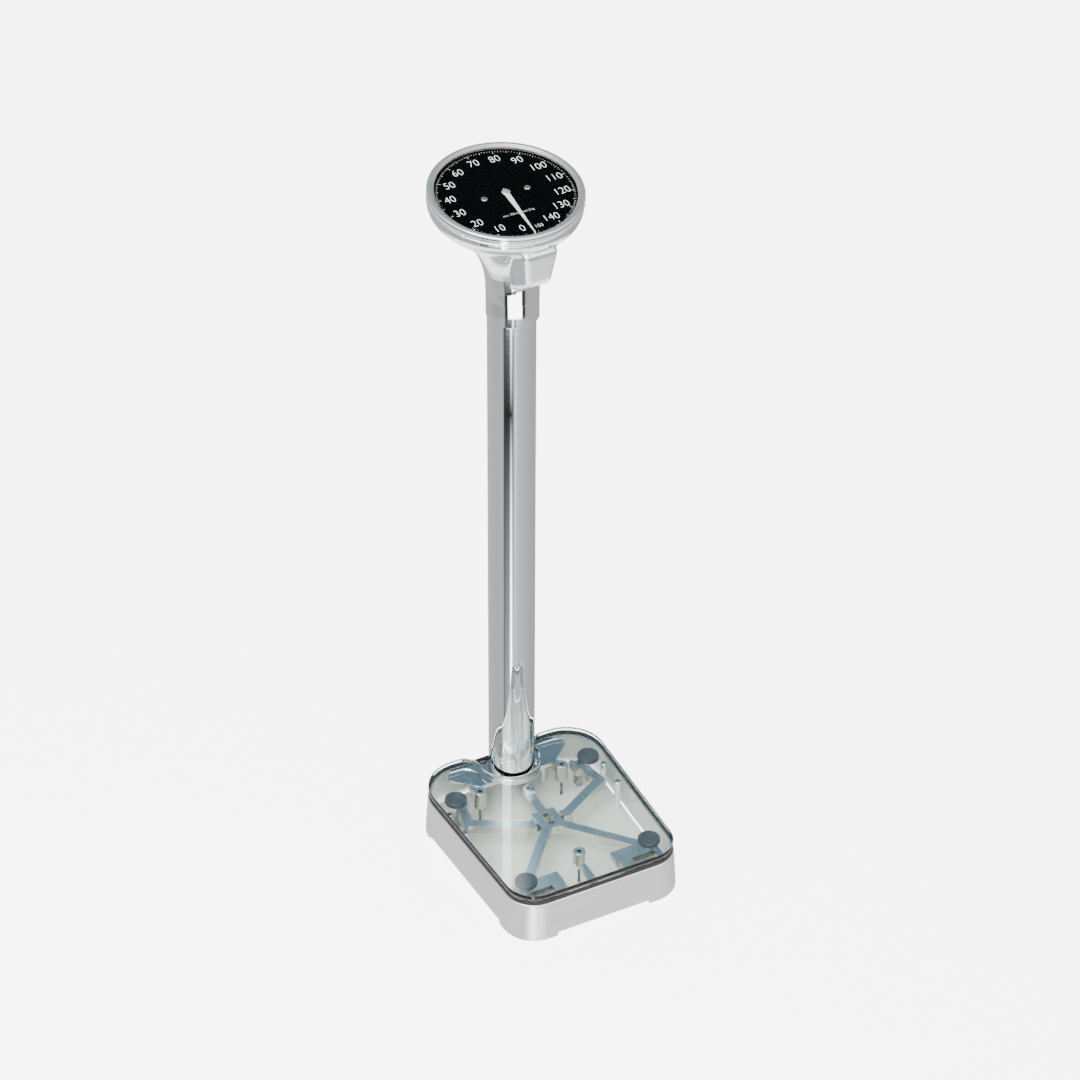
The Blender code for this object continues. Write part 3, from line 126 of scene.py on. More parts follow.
def colour(name, description, code):
    return FloatVectorProperty(name=name, description=description, subtype="COLOR", size=3, min=0.0, max=1.0,
                               default=linear(code))


def length(name, description, millimetres):
    return FloatProperty(name=name, description=description, unit="LENGTH", precision=4,
                         default=millimetres * MM)


class ScaleColours(PropertyGroup):
    chrome: colour("Chrome", "Polished decorative chrome of the column and head", "#E6E8EA")
    skirt: colour("Skirt", "Satin stainless steel of the base skirt", "#DCDCDC")
    floor_plate: colour("Floor plate", "Warm lacquered aluminium of the base floor", "#F1EEE2")
    # The blue-grey of the up-facing ground faces is partly their ground finish and partly a painted
    # reflection of the blue sky.
    lever_top: colour("Lever tops", "Ground upper faces of the levers", "#AFBFCB")
    lever_side: colour("Lever sides", "Nickelled sides of the levers", "#CFCBBF")
    steel: colour("Hard steel", "Ground steel of pivots, stands and rod", "#9C9EA2")
    pad: colour("Pads", "Slate rubber of the platform pads", "#2F3439")
    seal: colour("Seal", "Black rubber of the rim seal and feet", "#0E0E0F")
    glass: colour("Glass", "Clear float glass of the platform", "#F4FBFA")
    glass_depth: colour("Glass depth", "Colour left after light has gone far inside the glass", "#18B4CC")
    enamel: colour("Dial enamel", "Black enamel of the dial", "#010101")
    print_white: colour("Dial print", "White ink of the numerals and marks", "#E9E9E4")
    pointer: colour("Pointer", "Satin aluminium of the pointer", "#DEDCD2")
    brass: colour("Brass", "Turned brass of the movement", "#C9A552")
    reflector: colour("Bezel wall", "Silver lacquer of the wall inside the bezel", "#A59F98")
    studio_floor: colour("Studio floor", "Pale floor under the scale", "#F4F4F4")


class ScaleSizes(PropertyGroup):
    numeral_height: length("Numeral height", "Height of the dial's numerals", 14.0)
    numeral_radius: length("Numeral radius", "Distance of the numerals from the dial's middle", 79.0)
    mark_width: length("Mark width", "Width of a one kilogram mark", 0.28)
    mark_outer: length("Mark outer radius", "Where every mark of the dial ends", 97.5)
    edge_round: length("Edge rounding", "Rounding of the machined edges", 0.6)
    casting_round: length("Casting detail", "Smallest detail kept on the head casting", 1.8)
    turned_steps: IntProperty(name="Turned steps", description="Facets round a turned piece", default=96,
                              min=24)


class ScaleStage(PropertyGroup):
    azimuth: FloatProperty(name="Azimuth", description="Camera's direction round the scale", unit="ROTATION",
                           default=math.radians(-27.2))
    elevation: FloatProperty(name="Elevation", description="Camera's height angle", unit="ROTATION",
                             default=math.radians(36.9))
    distance: length("Distance", "Camera's distance from its target", 5865.0)
    target_height: length("Target height", "Height of the point looked at", 504.8)
    lens: FloatProperty(name="Lens", description="Focal length in millimetres", default=133.33, min=10.0)
    shift: FloatProperty(name="Shift", description="Sideways shift of the view", default=0.0263)
    key_power: FloatProperty(name="Key light", description="Power of the soft key light", unit="POWER",
                             default=110.0)
    sky: FloatProperty(name="Sky", description="Brightness of the soft room light", default=2.1, min=0.0)


# ---------------------------------------------------------------- selecting and shaping

def select_only(piece):
    bpy.ops.object.select_all(action="DESELECT")
    piece.select_set(True)
    bpy.context.view_layer.objects.active = piece


def name_new(name):
    """Name the object an operator has just added."""
    piece = bpy.context.view_layer.objects.active
    piece.name = name
    piece.data.name = name
    return piece


def start_edit(piece):
    select_only(piece)
    bpy.ops.object.mode_set(mode="EDIT")
    bpy.ops.mesh.select_all(action="SELECT")


def end_edit():
    bpy.ops.object.mode_set(mode="OBJECT")


def apply_modifier(piece, kind, **settings):
    select_only(piece)
    bpy.ops.object.modifier_add(type=kind)
    modifier = piece.modifiers[-1]
    for key, value in settings.items():
        setattr(modifier, key, value)
    bpy.ops.object.modifier_apply(modifier=modifier.name)


def smooth(piece, degrees=35.0):
    select_only(piece)
    bpy.ops.object.shade_smooth_by_angle(angle=math.radians(degrees))


def soften(piece, width, segments=2, degrees=35.0):
    """Round a piece's machined edges and shade it."""
    if width > 0:
        apply_modifier(piece, "BEVEL", width=width, segments=segments, limit_method="ANGLE",
                       angle_limit=math.radians(degrees), use_clamp_overlap=True)
    smooth(piece, degrees)
    apply_modifier(piece, "WEIGHTED_NORMAL", keep_sharp=True)


def move(piece, matrix):
    """Put a piece's place into its mesh."""
    piece.data.transform(matrix)
    piece.data.update()


def merge_pieces(name, pieces):
    """Join pieces into one object."""
    bpy.ops.object.select_all(action="DESELECT")
    for piece in pieces:
        piece.select_set(True)
    bpy.context.view_layer.objects.active = pieces[0]
    bpy.ops.object.join()
    return name_new(name)


def lathe(name, profile, steps, place=Matrix.Identity(4)):
    """Spin a profile of (radius, height) points about the Z axis and set the result in place."""
    bpy.ops.object.select_all(action="DESELECT")
    bpy.ops.mesh.primitive_plane_add(size=MM)
    piece = name_new(name)
    start_edit(piece)
    bpy.ops.mesh.merge(type="CENTER")
    bpy.ops.transform.translate(value=(profile[0][0], 0.0, profile[0][1]))
    for before, after in zip(profile, profile[1:]):
        step = (after[0] - before[0], 0.0, after[1] - before[1])
        bpy.ops.mesh.extrude_region_move(TRANSFORM_OT_translate={"value": step})
    bpy.ops.mesh.select_all(action="SELECT")
    bpy.ops.mesh.spin(steps=steps, angle=math.tau, center=(0, 0, 0), axis=(0, 0, 1))
    bpy.ops.mesh.select_all(action="SELECT")
    bpy.ops.mesh.remove_doubles(threshold=0.001 * MM)
    bpy.ops.mesh.normals_make_consistent(inside=False)
    end_edit()
    move(piece, place)
    return piece


def turned_node(node, name, profile, steps, finish_key, degrees=40.0):
    """A turned piece standing on its node's own axis and foot, in that node's place."""
    centre = middle(node)
    turned = lathe(name, profile, steps, Matrix.Translation((centre.x, centre.y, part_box(node)[0].z)))
    smooth(turned, degrees)
    stand_for(dress(turned, finish(finish_key)), node)


def cut_away(piece, cutter):
    """Cut another closed piece out of this one and throw it away."""
    apply_modifier(piece, "BOOLEAN", operation="DIFFERENCE", solver="EXACT", object=cutter)
    bpy.data.objects.remove(cutter)


def box_piece(name, low, high, edge=0.0):
    """A cuboid between two corners, its edges rounded."""
    bpy.ops.object.select_all(action="DESELECT")
    centre = (Vector(low) + Vector(high)) / 2
    bpy.ops.mesh.primitive_cube_add(size=1.0, location=centre, scale=Vector(high) - Vector(low))
    piece = name_new(name)
    bpy.ops.object.transform_apply(location=True, rotation=True, scale=True)
    if edge > 0:
        soften(piece, edge)
    return piece


def copy_node(node, name, edge=0.0, degrees=35.0):
    """A finished copy of a frame node: welded, its flats cleaned, its edges rounded and shaded."""
    mesh = frame["nodes"][node].data.copy()
    mesh.materials.clear()
    piece = bpy.data.objects.new(name, mesh)
    bpy.context.scene.collection.objects.link(piece)
    start_edit(piece)
    bpy.ops.mesh.remove_doubles(threshold=0.002 * MM)
    bpy.ops.mesh.dissolve_limited(angle_limit=math.radians(1.0))
    end_edit()
    soften(piece, edge, degrees=degrees)
    return piece


def dress(piece, material, sky_tinted_top_material=None):
    """Give a piece its material, and another to the faces that look up; callers give those faces the ground
    finish, whose blue-grey tint is a painted sky reflection.
    """
    piece.data.materials.clear()
    piece.data.materials.append(material)
    for face in piece.data.polygons:
        face.material_index = 0
    if sky_tinted_top_material is not None:
        piece.data.materials.append(sky_tinted_top_material)
        for face in piece.data.polygons:
            # Up-facing faces take the second material: a ground finish with a painted blue sky reflection in
            # its colour.
            if face.normal.z > 0.9:
                face.material_index = 1
    return piece


def stand_for(piece, *nodes):
    """A piece rides on its node's body and is shown in its place; the node itself is hidden."""
    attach(piece, frame["nodes"][nodes[0]]["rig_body"])
    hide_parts(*nodes)


def belong_to(piece, node):
    """An extra piece that moves with a node's body."""
    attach(piece, frame["nodes"][node]["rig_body"])


# ---------------------------------------------------------------- material helpers

def add_node(tree, kind, inputs=None, **settings):
    """Add a node, set its properties, and set or link its inputs."""
    node = tree.nodes.new(kind)
    for key, value in settings.items():
        setattr(node, key, value)
    for socket, value in (inputs or {}).items():
        if isinstance(value, bpy.types.NodeSocket):
            tree.links.new(value, node.inputs[socket])
        else:
            node.inputs[socket].default_value = value
    return node


def new_material(name, base, metallic, roughness):
    """A Principled material with its constant values on the shader's own sockets."""
    material = bpy.data.materials.new(name)
    material.use_nodes = True
    tree = material.node_tree
    shader = tree.nodes["Principled BSDF"]
    shader.inputs["Base Color"].default_value = (*base, 1.0)
    shader.inputs["Metallic"].default_value = metallic
    shader.inputs["Roughness"].default_value = roughness
    return material, tree, shader


def grain(tree, scale, detail=2.0):
    """Noise on Object coordinates, with its scale given per metre along X, Y and Z."""
    coordinates = add_node(tree, "ShaderNodeTexCoord")
    stretched = add_node(tree, "ShaderNodeMapping", {"Vector": coordinates.outputs["Object"], "Scale": scale})
    noise = add_node(tree, "ShaderNodeTexNoise", {"Vector": stretched.outputs["Vector"], "Scale": 1.0,
                                                  "Detail": detail, "Roughness": 0.6})
    return noise.outputs["Fac"]


def spread(tree, value, low, high):
    """Map a noise's middle range to a range of values."""
    node = add_node(tree, "ShaderNodeMapRange", {"Value": value, "From Min": 0.3, "From Max": 0.7,
                                                 "To Min": low, "To Max": high})
    return node.outputs["Result"]


def tint(tree, shader, value, dark, light):
    """Vary a shader's colour between two tones by a noise."""
    ramp = add_node(tree, "ShaderNodeValToRGB", {"Fac": value})
    ramp.color_ramp.elements[0].position = 0.3
    ramp.color_ramp.elements[0].color = (*dark, 1.0)
    ramp.color_ramp.elements[1].position = 0.7
    ramp.color_ramp.elements[1].color = (*light, 1.0)
    tree.links.new(ramp.outputs["Color"], shader.inputs["Base Color"])


def relief(tree, shader, value, depth, strength=1.0):
    """Bump of a real depth in metres."""
    bump = add_node(tree, "ShaderNodeBump", {"Height": value, "Distance": depth, "Strength": strength})
    tree.links.new(bump.outputs["Normal"], shader.inputs["Normal"])


def shaded(base, factor):
    return tuple(min(1.0, channel * factor) for channel in base)


# ---------------------------------------------------------------- materials

def make_chrome(colours):
    """Decorative chrome over polished brass: a mirror with faint wiping marks that dull it here and there."""
    material, tree, shader = new_material("decorative_chrome", colours.chrome, 1.0, 0.015)
    wiping = grain(tree, (1 / (40 * MM), 1 / (40 * MM), 1 / (9 * MM)), 4.0)
    tree.links.new(spread(tree, wiping, 0.008, 0.03), shader.inputs["Roughness"])
    return material


def make_bezel_metal(colours):
    """Bright-dipped aluminium: a soft white mirror."""
    material, tree, shader = new_material("bright_dipped_aluminium", colours.chrome, 0.88, 0.1)
    wiping = grain(tree, (1 / (30 * MM),) * 3, 3.0)
    tree.links.new(spread(tree, wiping, 0.08, 0.14), shader.inputs["Roughness"])
    return material


def make_satin_steel(colours):
    """Stainless steel brushed along the skirt: long fine streaks that blur what it mirrors."""
    material, tree, shader = new_material("brushed_stainless_steel", colours.skirt, 0.85, 0.3)
    streaks = grain(tree, (1 / (60 * MM), 1 / (60 * MM), 1 / (0.5 * MM)), 3.0)
    tree.links.new(spread(tree, streaks, 0.24, 0.36), shader.inputs["Roughness"])
    tint(tree, shader, streaks, shaded(colours.skirt, 0.97), shaded(colours.skirt, 1.02))
    relief(tree, shader, streaks, 0.004 * MM, 0.3)
    return material


def make_floor_metal(colours):
    """Aluminium sheet, brushed across and lacquered warm white: a soft sheen over pale streaks."""
    material, tree, shader = new_material("lacquered_brushed_aluminium", colours.floor_plate, 0.1, 0.42)
    streaks = grain(tree, (1 / (1.4 * MM), 1 / (90 * MM), 1.0), 3.0)
    tint(tree, shader, streaks, shaded(colours.floor_plate, 0.9), shaded(colours.floor_plate, 1.02))
    relief(tree, shader, streaks, 0.02 * MM, 0.4)
    return material


def make_ground_steel(colours):
    """Surface-ground cast iron under clear lacquer with fine cross lines; its cool blue-grey base colour is a
    painted reflection of the blue sky.
    """
    material, tree, shader = new_material("surface_ground_iron_sky_tint", colours.lever_top, 0.95, 0.3)
    lines = grain(tree, (1 / (0.8 * MM), 1 / (25 * MM), 1.0), 3.0)
    tint(tree, shader, lines, shaded(colours.lever_top, 0.85), shaded(colours.lever_top, 1.1))
    tree.links.new(spread(tree, lines, 0.24, 0.4), shader.inputs["Roughness"])
    relief(tree, shader, lines, 0.01 * MM, 0.5)
    return material


def make_nickel(colours):
    """Nickel plate on a sand casting: warm and bright, with the casting's skin showing through."""
    material, tree, shader = new_material("nickel_plated_casting", colours.lever_side, 1.0, 0.2)
    skin = grain(tree, (1 / (1.6 * MM),) * 3, 3.0)
    tree.links.new(spread(tree, skin, 0.12, 0.26), shader.inputs["Roughness"])
    relief(tree, shader, skin, 0.05 * MM, 0.35)
    return material


def make_hard_steel(colours):
    """Ground tool steel: a dull grey mirror with fine lines."""
    material, tree, shader = new_material("ground_tool_steel", colours.steel, 1.0, 0.25)
    lines = grain(tree, (1 / (0.6 * MM), 1 / (8 * MM), 1 / (8 * MM)), 2.0)
    tree.links.new(spread(tree, lines, 0.2, 0.34), shader.inputs["Roughness"])
    return material


def make_rubber(name, base, roughness):
    """Moulded rubber: matt, with a fine grit left by the mould."""
    material, tree, shader = new_material(name, base, 0.0, roughness)
    grit = grain(tree, (1 / (0.7 * MM),) * 3, 4.0)
    tint(tree, shader, grit, shaded(base, 0.85), shaded(base, 1.15))
    relief(tree, shader, grit, 0.04 * MM, 0.5)
    return material


def make_pad_rubber(colours):
    """Slate-grey moulded rubber of the pads."""
    return make_rubber("slate_rubber", colours.pad, 0.5)


def make_seal_rubber(colours):
    """Black moulded rubber of the seal and the feet."""
    return make_rubber("black_rubber", colours.seal, 0.6)


def let_lamps_through(tree, shader, passed):
    """Rays on their way to a lamp go straight through, so that what is behind the glass is lit."""
    clear = add_node(tree, "ShaderNodeBsdfTransparent", {"Color": (*passed, 1.0)})
    path = add_node(tree, "ShaderNodeLightPath")
    mix = add_node(tree, "ShaderNodeMixShader", {0: path.outputs["Is Shadow Ray"], 1: shader.outputs["BSDF"],
                                                 2: clear.outputs["BSDF"]})
    output = next(node for node in tree.nodes if node.type == "OUTPUT_MATERIAL")
    tree.links.new(mix.outputs["Shader"], output.inputs["Surface"])
    return output


def make_float_glass(colours):
    """Toughened float glass with polished edges: clear through its face, blue-green through its length."""
    material, tree, shader = new_material("toughened_float_glass", colours.glass, 0.0, 0.0)
    shader.inputs["IOR"].default_value = 1.5
    shader.inputs["Transmission Weight"].default_value = 1.0
    output = let_lamps_through(tree, shader, shaded(colours.glass, 0.95))
    depth = add_node(tree, "ShaderNodeVolumeAbsorption", {
        "Color": (*colours.glass_depth, 1.0), "Density": 2.2})
    tree.links.new(depth.outputs["Volume"], output.inputs["Volume"])
    return material


def make_crystal(colours):
    """Moulded acrylic watch glass, coated so that little shines back from it."""
    material, tree, shader = new_material("coated_acrylic", colours.glass, 0.0, 0.0)
    shader.inputs["IOR"].default_value = 1.12
    shader.inputs["Transmission Weight"].default_value = 1.0
    let_lamps_through(tree, shader, shaded(colours.glass, 0.98))
    return material


def make_enamel(colours):
    """Stoved black enamel: deep black with a faint unevenness in its gloss."""
    material, tree, shader = new_material("stoved_black_enamel", colours.enamel, 0.0, 0.4)
    flow = grain(tree, (1 / (6 * MM),) * 3, 2.0)
    tree.links.new(spread(tree, flow, 0.35, 0.48), shader.inputs["Roughness"])
    shader.inputs["Specular IOR Level"].default_value = 0.0
    return material


def make_ink(colours):
    """Screen-printed white ink: matt, a little thin in places."""
    material, tree, shader = new_material("screen_print_ink", colours.print_white, 0.0, 0.6)
    cover = grain(tree, (1 / (0.9 * MM),) * 3, 2.0)
    tint(tree, shader, cover, shaded(colours.print_white, 0.88), colours.print_white)
    return material


def make_pointer_metal(colours):
    """Satin anodised aluminium sheet."""
    material, tree, shader = new_material("satin_anodised_aluminium", colours.pointer, 0.35, 0.4)
    lines = grain(tree, (1 / (0.5 * MM), 1 / (10 * MM), 1 / (10 * MM)), 2.0)
    tree.links.new(spread(tree, lines, 0.34, 0.5), shader.inputs["Roughness"])
    return material


def make_brass(colours):
    """Turned clock brass: fine tool rings under a thin lacquer."""
    material, tree, shader = new_material("turned_clock_brass", colours.brass, 1.0, 0.25)
    rings = grain(tree, (1 / (0.4 * MM),) * 3, 2.0)
    tree.links.new(spread(tree, rings, 0.2, 0.34), shader.inputs["Roughness"])
    return material


def make_reflector(colours):
    """Matt silver lacquer inside the bezel, which throws soft light on to the dial."""
    material, tree, shader = new_material("matt_silver_lacquer", colours.reflector, 0.55, 0.42)
    haze = grain(tree, (1 / (30 * MM),) * 3, 2.0)
    tree.links.new(spread(tree, haze, 0.36, 0.5), shader.inputs["Roughness"])
    return material


FINISHES = {
    "chrome": make_chrome, "skirt": make_satin_steel, "floor": make_floor_metal, "ground": make_ground_steel,
    "nickel": make_nickel, "steel": make_hard_steel, "pad": make_pad_rubber, "seal": make_seal_rubber,
    "glass": make_float_glass, "crystal": make_crystal, "enamel": make_enamel, "ink": make_ink,
    "pointer": make_pointer_metal, "brass": make_brass, "reflector": make_reflector,
    "bezel": make_bezel_metal}
MADE = {}


def finish(key):
    """A finish, made the first time that a piece asks for it."""
    if key not in MADE:
        MADE[key] = FINISHES[key](bpy.context.scene.scale_colours)
    return MADE[key]


# ---------------------------------------------------------------- pieces

class BuildSkirt(Operator):
    """Build the base skirt and the seal on its rim"""
    bl_idname = "dial_scale.skirt"
    bl_label = "Skirt"

    def execute(self, context):
        skirt = copy_node("base_shell", "skirt_pressing", degrees=50.0)
        stand_for(dress(skirt, finish("skirt")), "base_shell")
        seal = copy_node("rim_gasket", "rim_seal", 0.5 * MM)
        stand_for(dress(seal, finish("seal")), "rim_gasket")
        return {"FINISHED"}


class BuildFloorPlate(Operator):
    """Build the floor plate with the pillars and posts that stand on it"""
    bl_idname = "dial_scale.floor_plate"
    bl_label = "Floor plate and pillars"

    def execute(self, context):
        sizes = context.scene.scale_sizes
        plate = copy_node("floor_plate", "floor_sheet", 0.4 * MM)
        stand_for(dress(plate, finish("floor")), "floor_plate")
        strut = copy_node("post_strut", "front_strut", sizes.edge_round)
        # The strut's top faces take the ground finish with its painted blue sky reflection.
        stand_for(dress(strut, finish("nickel"), finish("ground")), "post_strut")
        for node in sorted(frame["nodes"]):
            if node.startswith(("bridge_pillar", "wall_pillar")):
                self.build_pillar(node)
            if node.startswith("levelling_post"):
                post = copy_node(node, node + "_sleeve", 0.4 * MM, 40.0)
                # The posts' top faces take the ground finish with its painted blue sky reflection.
                stand_for(dress(post, finish("nickel"), finish("ground")), node)
        return {"FINISHED"}

    def build_pillar(self, node):
        """A turned pillar with a chamfered head and a waist above its foot."""
        radius, height = half_size(node).x, 2 * half_size(node).z
        foot = radius * 0.85
        profile = [(0.0, height), (radius - 0.8 * MM, height), (radius, height - 0.8 * MM),
                   (radius, 9.0 * MM), (foot, 3.0 * MM), (foot, 0.6 * MM), (foot - 0.6 * MM, 0.0), (0.0, 0.0)]
        turned_node(node, node + "_turned", profile, 40, "chrome")


class BuildLevelling(Operator):
    """Build the levelling screws and their feet"""
    bl_idname = "dial_scale.levelling"
    bl_label = "Levelling screws"

    THREAD_PITCH = 1.25 * MM

    def execute(self, context):
        for node in sorted(frame["nodes"]):
            if node.startswith("levelling_screw"):
                self.build_screw(node)
            if node.startswith("foot_"):
                self.build_foot(node)
        return {"FINISHED"}

    def build_screw(self, node):
        """A threaded rod: rings of thread along a core that is left plain at both ends."""
        radius, height = half_size(node).x, 2 * half_size(node).z
        core = radius * 0.86
        pitch = self.THREAD_PITCH
        profile = [(0.0, height), (core, height)]
        top = height - pitch
        while top > 2 * pitch:
            profile += [(radius, top), (core, top - pitch / 2)]
            top -= pitch
        profile += [(core, 0.0), (0.0, 0.0)]
        turned_node(node, node + "_thread", profile, 24, "steel", 30.0)

    def build_foot(self, node):
        """A rubber button with a rounded tread."""
        radius, height = half_size(node).x, 2 * half_size(node).z
        profile = [(0.0, height), (radius * 0.8, height), (radius, height * 0.6), (radius, 0.8 * MM),
                   (radius - 0.3 * MM, 0.25 * MM), (radius - 1.0 * MM, 0.0), (radius * 0.5, 0.0),
                   (radius * 0.45, 0.4 * MM), (0.0, 0.4 * MM)]
        turned_node(node, node + "_button", profile, 40, "seal")


class BuildBridge(Operator):
    """Build the bridge plate and the column's flange"""
    bl_idname = "dial_scale.bridge"
    bl_label = "Bridge and flange"

    def execute(self, context):
        sizes = context.scene.scale_sizes
        plate = copy_node("bridge_plate", "bridge_pressing", sizes.edge_round)
        stand_for(dress(plate, finish("chrome")), "bridge_plate")
        flange = copy_node("column_flange", "flange_turned", 0.3 * MM, 40.0)
        stand_for(dress(flange, finish("chrome")), "column_flange")
        return {"FINISHED"}


class BuildLevers(Operator):
    """Build the levers, knife edges, stands, hub link and calibration nut"""
    bl_idname = "dial_scale.levers"
    bl_label = "Levers"

    def execute(self, context):
        sizes = context.scene.scale_sizes
        for node in ("long_lever", "short_lever"):
            lever = copy_node(node, node + "_casting", sizes.edge_round)
            # The levers' top faces take the ground finish with its painted blue sky reflection.
            stand_for(dress(lever, finish("nickel"), finish("ground")), node)
        for node in sorted(frame["nodes"]):
            if "_pivot_" in node or "_stand_" in node:
                steel = copy_node(node, node + "_ground", 0.2 * MM)
                stand_for(dress(steel, finish("steel")), node)
        link = copy_node("hub_link", "hub_link_forging", 0.4 * MM)
        stand_for(dress(link, finish("nickel")), "hub_link")
        nut = copy_node("calibration_nut", "calibration_nut_turned", 0.35 * MM, 32.0)
        stand_for(dress(nut, finish("chrome")), "calibration_nut")
        return {"FINISHED"}


class BuildPlatform(Operator):
    """Build the glass platform, its rubber pads and the shoes under them"""
    bl_idname = "dial_scale.platform"
    bl_label = "Glass platform"

    def execute(self, context):
        glass = copy_node("glass_platform", "platform_glass", degrees=50.0)
        stand_for(dress(glass, finish("glass")), "glass_platform")
        for node in sorted(frame["nodes"]):
            if node.startswith("pad_"):
                self.build_pad(node)
            if node.startswith("load_shoe"):
                self.build_shoe(node)
        return {"FINISHED"}

    def build_pad(self, node):
        """A round pad with a rounded rim, a shallow dish on top and a draught on its side."""
        radius, height = half_size(node).x, 2 * half_size(node).z
        profile = [(0.0, height - 0.3 * MM), (radius * 0.7, height - 0.3 * MM), (radius * 0.78, height),
                   (radius - 1.6 * MM, height), (radius - 0.5 * MM, height - 0.4 * MM),
                   (radius, height - 1.4 * MM), (radius, 1.6 * MM), (radius * 0.96, 0.4 * MM),
                   (radius * 0.93, 0.0), (0.0, 0.0)]
        turned_node(node, node + "_moulded", profile, 64, "pad", 45.0)

    def build_shoe(self, node):
        """A turned stem under a flat head."""
        radius, height = half_size(node).x, 2 * half_size(node).z
        stem = radius * 0.54
        profile = [(0.0, height), (radius - 0.4 * MM, height), (radius, height - 0.4 * MM),
                   (radius, height - 2.2 * MM), (radius - 0.6 * MM, height - 2.6 * MM),
                   (stem, height - 3.2 * MM), (stem, 0.5 * MM), (stem - 0.5 * MM, 0.0), (0.0, 0.0)]
        turned_node(node, node + "_turned", profile, 40, "chrome")


class BuildColumn(Operator):
    """Build the chromed column, the draw rod and its spring"""
    bl_idname = "dial_scale.column"
    bl_label = "Column and draw rod"

    TUBE_WALL = 2.0 * MM

    def execute(self, context):
        sizes = context.scene.scale_sizes
        low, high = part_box("column_tube")
        outer = half_size("column_tube").x
        inner = outer - self.TUBE_WALL
        round_edge = 0.4 * MM
        profile = [(outer - round_edge, high.z), (outer, high.z - round_edge), (outer, low.z + round_edge),
                   (outer - round_edge, low.z), (inner, low.z), (inner, high.z), (outer - round_edge, high.z)]
        tube = lathe("column_drawn_tube", profile, 2 * sizes.turned_steps, Matrix.Translation((0, AXIS_Y, 0)))
        smooth(tube, 30.0)
        stand_for(dress(tube, finish("chrome")), "column_tube")
        rod = copy_node("draw_rod", "draw_rod_machined", 0.3 * MM)
        stand_for(dress(rod, finish("steel")), "draw_rod")
        self.build_spring()
        return {"FINISHED"}

    def build_spring(self):
        """The coil spring, copied from its node and given a mesh of its own."""
        spring = copy_node("main_spring", "main_spring_coiled")
        stand_for(dress(spring, finish("steel")), "main_spring")
        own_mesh(spring)


class BuildHead(Operator):
    """Build the head casting and the collar that holds it on the column"""
    bl_idname = "dial_scale.head"
    bl_label = "Head casting"

    COLLAR_WALL = 1.6 * MM
    COLLAR_FORWARD = 6.0 * MM
    COLLAR_ABOVE_TUBE = 2.5 * MM
    SOCKET_CLEARANCE = 0.1 * MM

    def execute(self, context):
        sizes = context.scene.scale_sizes
        collar_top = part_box("column_tube")[1].z + self.COLLAR_ABOVE_TUBE
        casting = copy_node("head_casting", "head_cast_body")
        apply_modifier(casting, "REMESH", mode="VOXEL", voxel_size=sizes.casting_round)
        apply_modifier(casting, "SMOOTH", factor=0.5, iterations=12)
        reach = 2 * half_size("column_tube").x
        below = box_piece("collar_room", (-reach, AXIS_Y - reach, 0.0),
                          (reach, AXIS_Y + reach, collar_top - 1.0 * MM))
        cut_away(casting, below)
        smooth(casting, 60.0)
        stand_for(dress(casting, finish("chrome")), "head_casting")
        collar = self.build_collar(sizes, collar_top)
        belong_to(dress(collar, finish("chrome")), "head_casting")
        return {"FINISHED"}

    def build_collar(self, sizes, top):
        """A turned collar with its front half moved forward, bored for the column."""
        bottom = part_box("head_casting")[0].z
        column = half_size("column_tube").x
        steps = 2 * sizes.turned_steps
        bpy.ops.object.select_all(action="DESELECT")
        bpy.ops.mesh.primitive_circle_add(vertices=steps, radius=column + self.COLLAR_WALL,
                                          fill_type="NGON", location=(0.0, AXIS_Y, bottom))
        collar = name_new("head_collar")
        bpy.ops.object.transform_apply(location=True)
        start_edit(collar)
        bpy.ops.mesh.select_all(action="DESELECT")
        end_edit()
        for vertex in collar.data.vertices:
            vertex.select = vertex.co.y < AXIS_Y - 0.01 * MM
        bpy.ops.object.mode_set(mode="EDIT")
        bpy.ops.transform.translate(value=(0.0, -self.COLLAR_FORWARD, 0.0))
        bpy.ops.mesh.select_all(action="SELECT")
        bpy.ops.mesh.extrude_region_move(TRANSFORM_OT_translate={"value": (0.0, 0.0, top - bottom)})
        bpy.ops.mesh.select_all(action="SELECT")
        bpy.ops.mesh.normals_make_consistent(inside=False)
        end_edit()
        bpy.ops.object.select_all(action="DESELECT")
        bpy.ops.mesh.primitive_cylinder_add(vertices=steps, radius=column + self.SOCKET_CLEARANCE,
                                            depth=4 * (top - bottom), location=(0.0, AXIS_Y, bottom))
        cut_away(collar, name_new("collar_bore"))
        soften(collar, 0.3 * MM)
        return collar


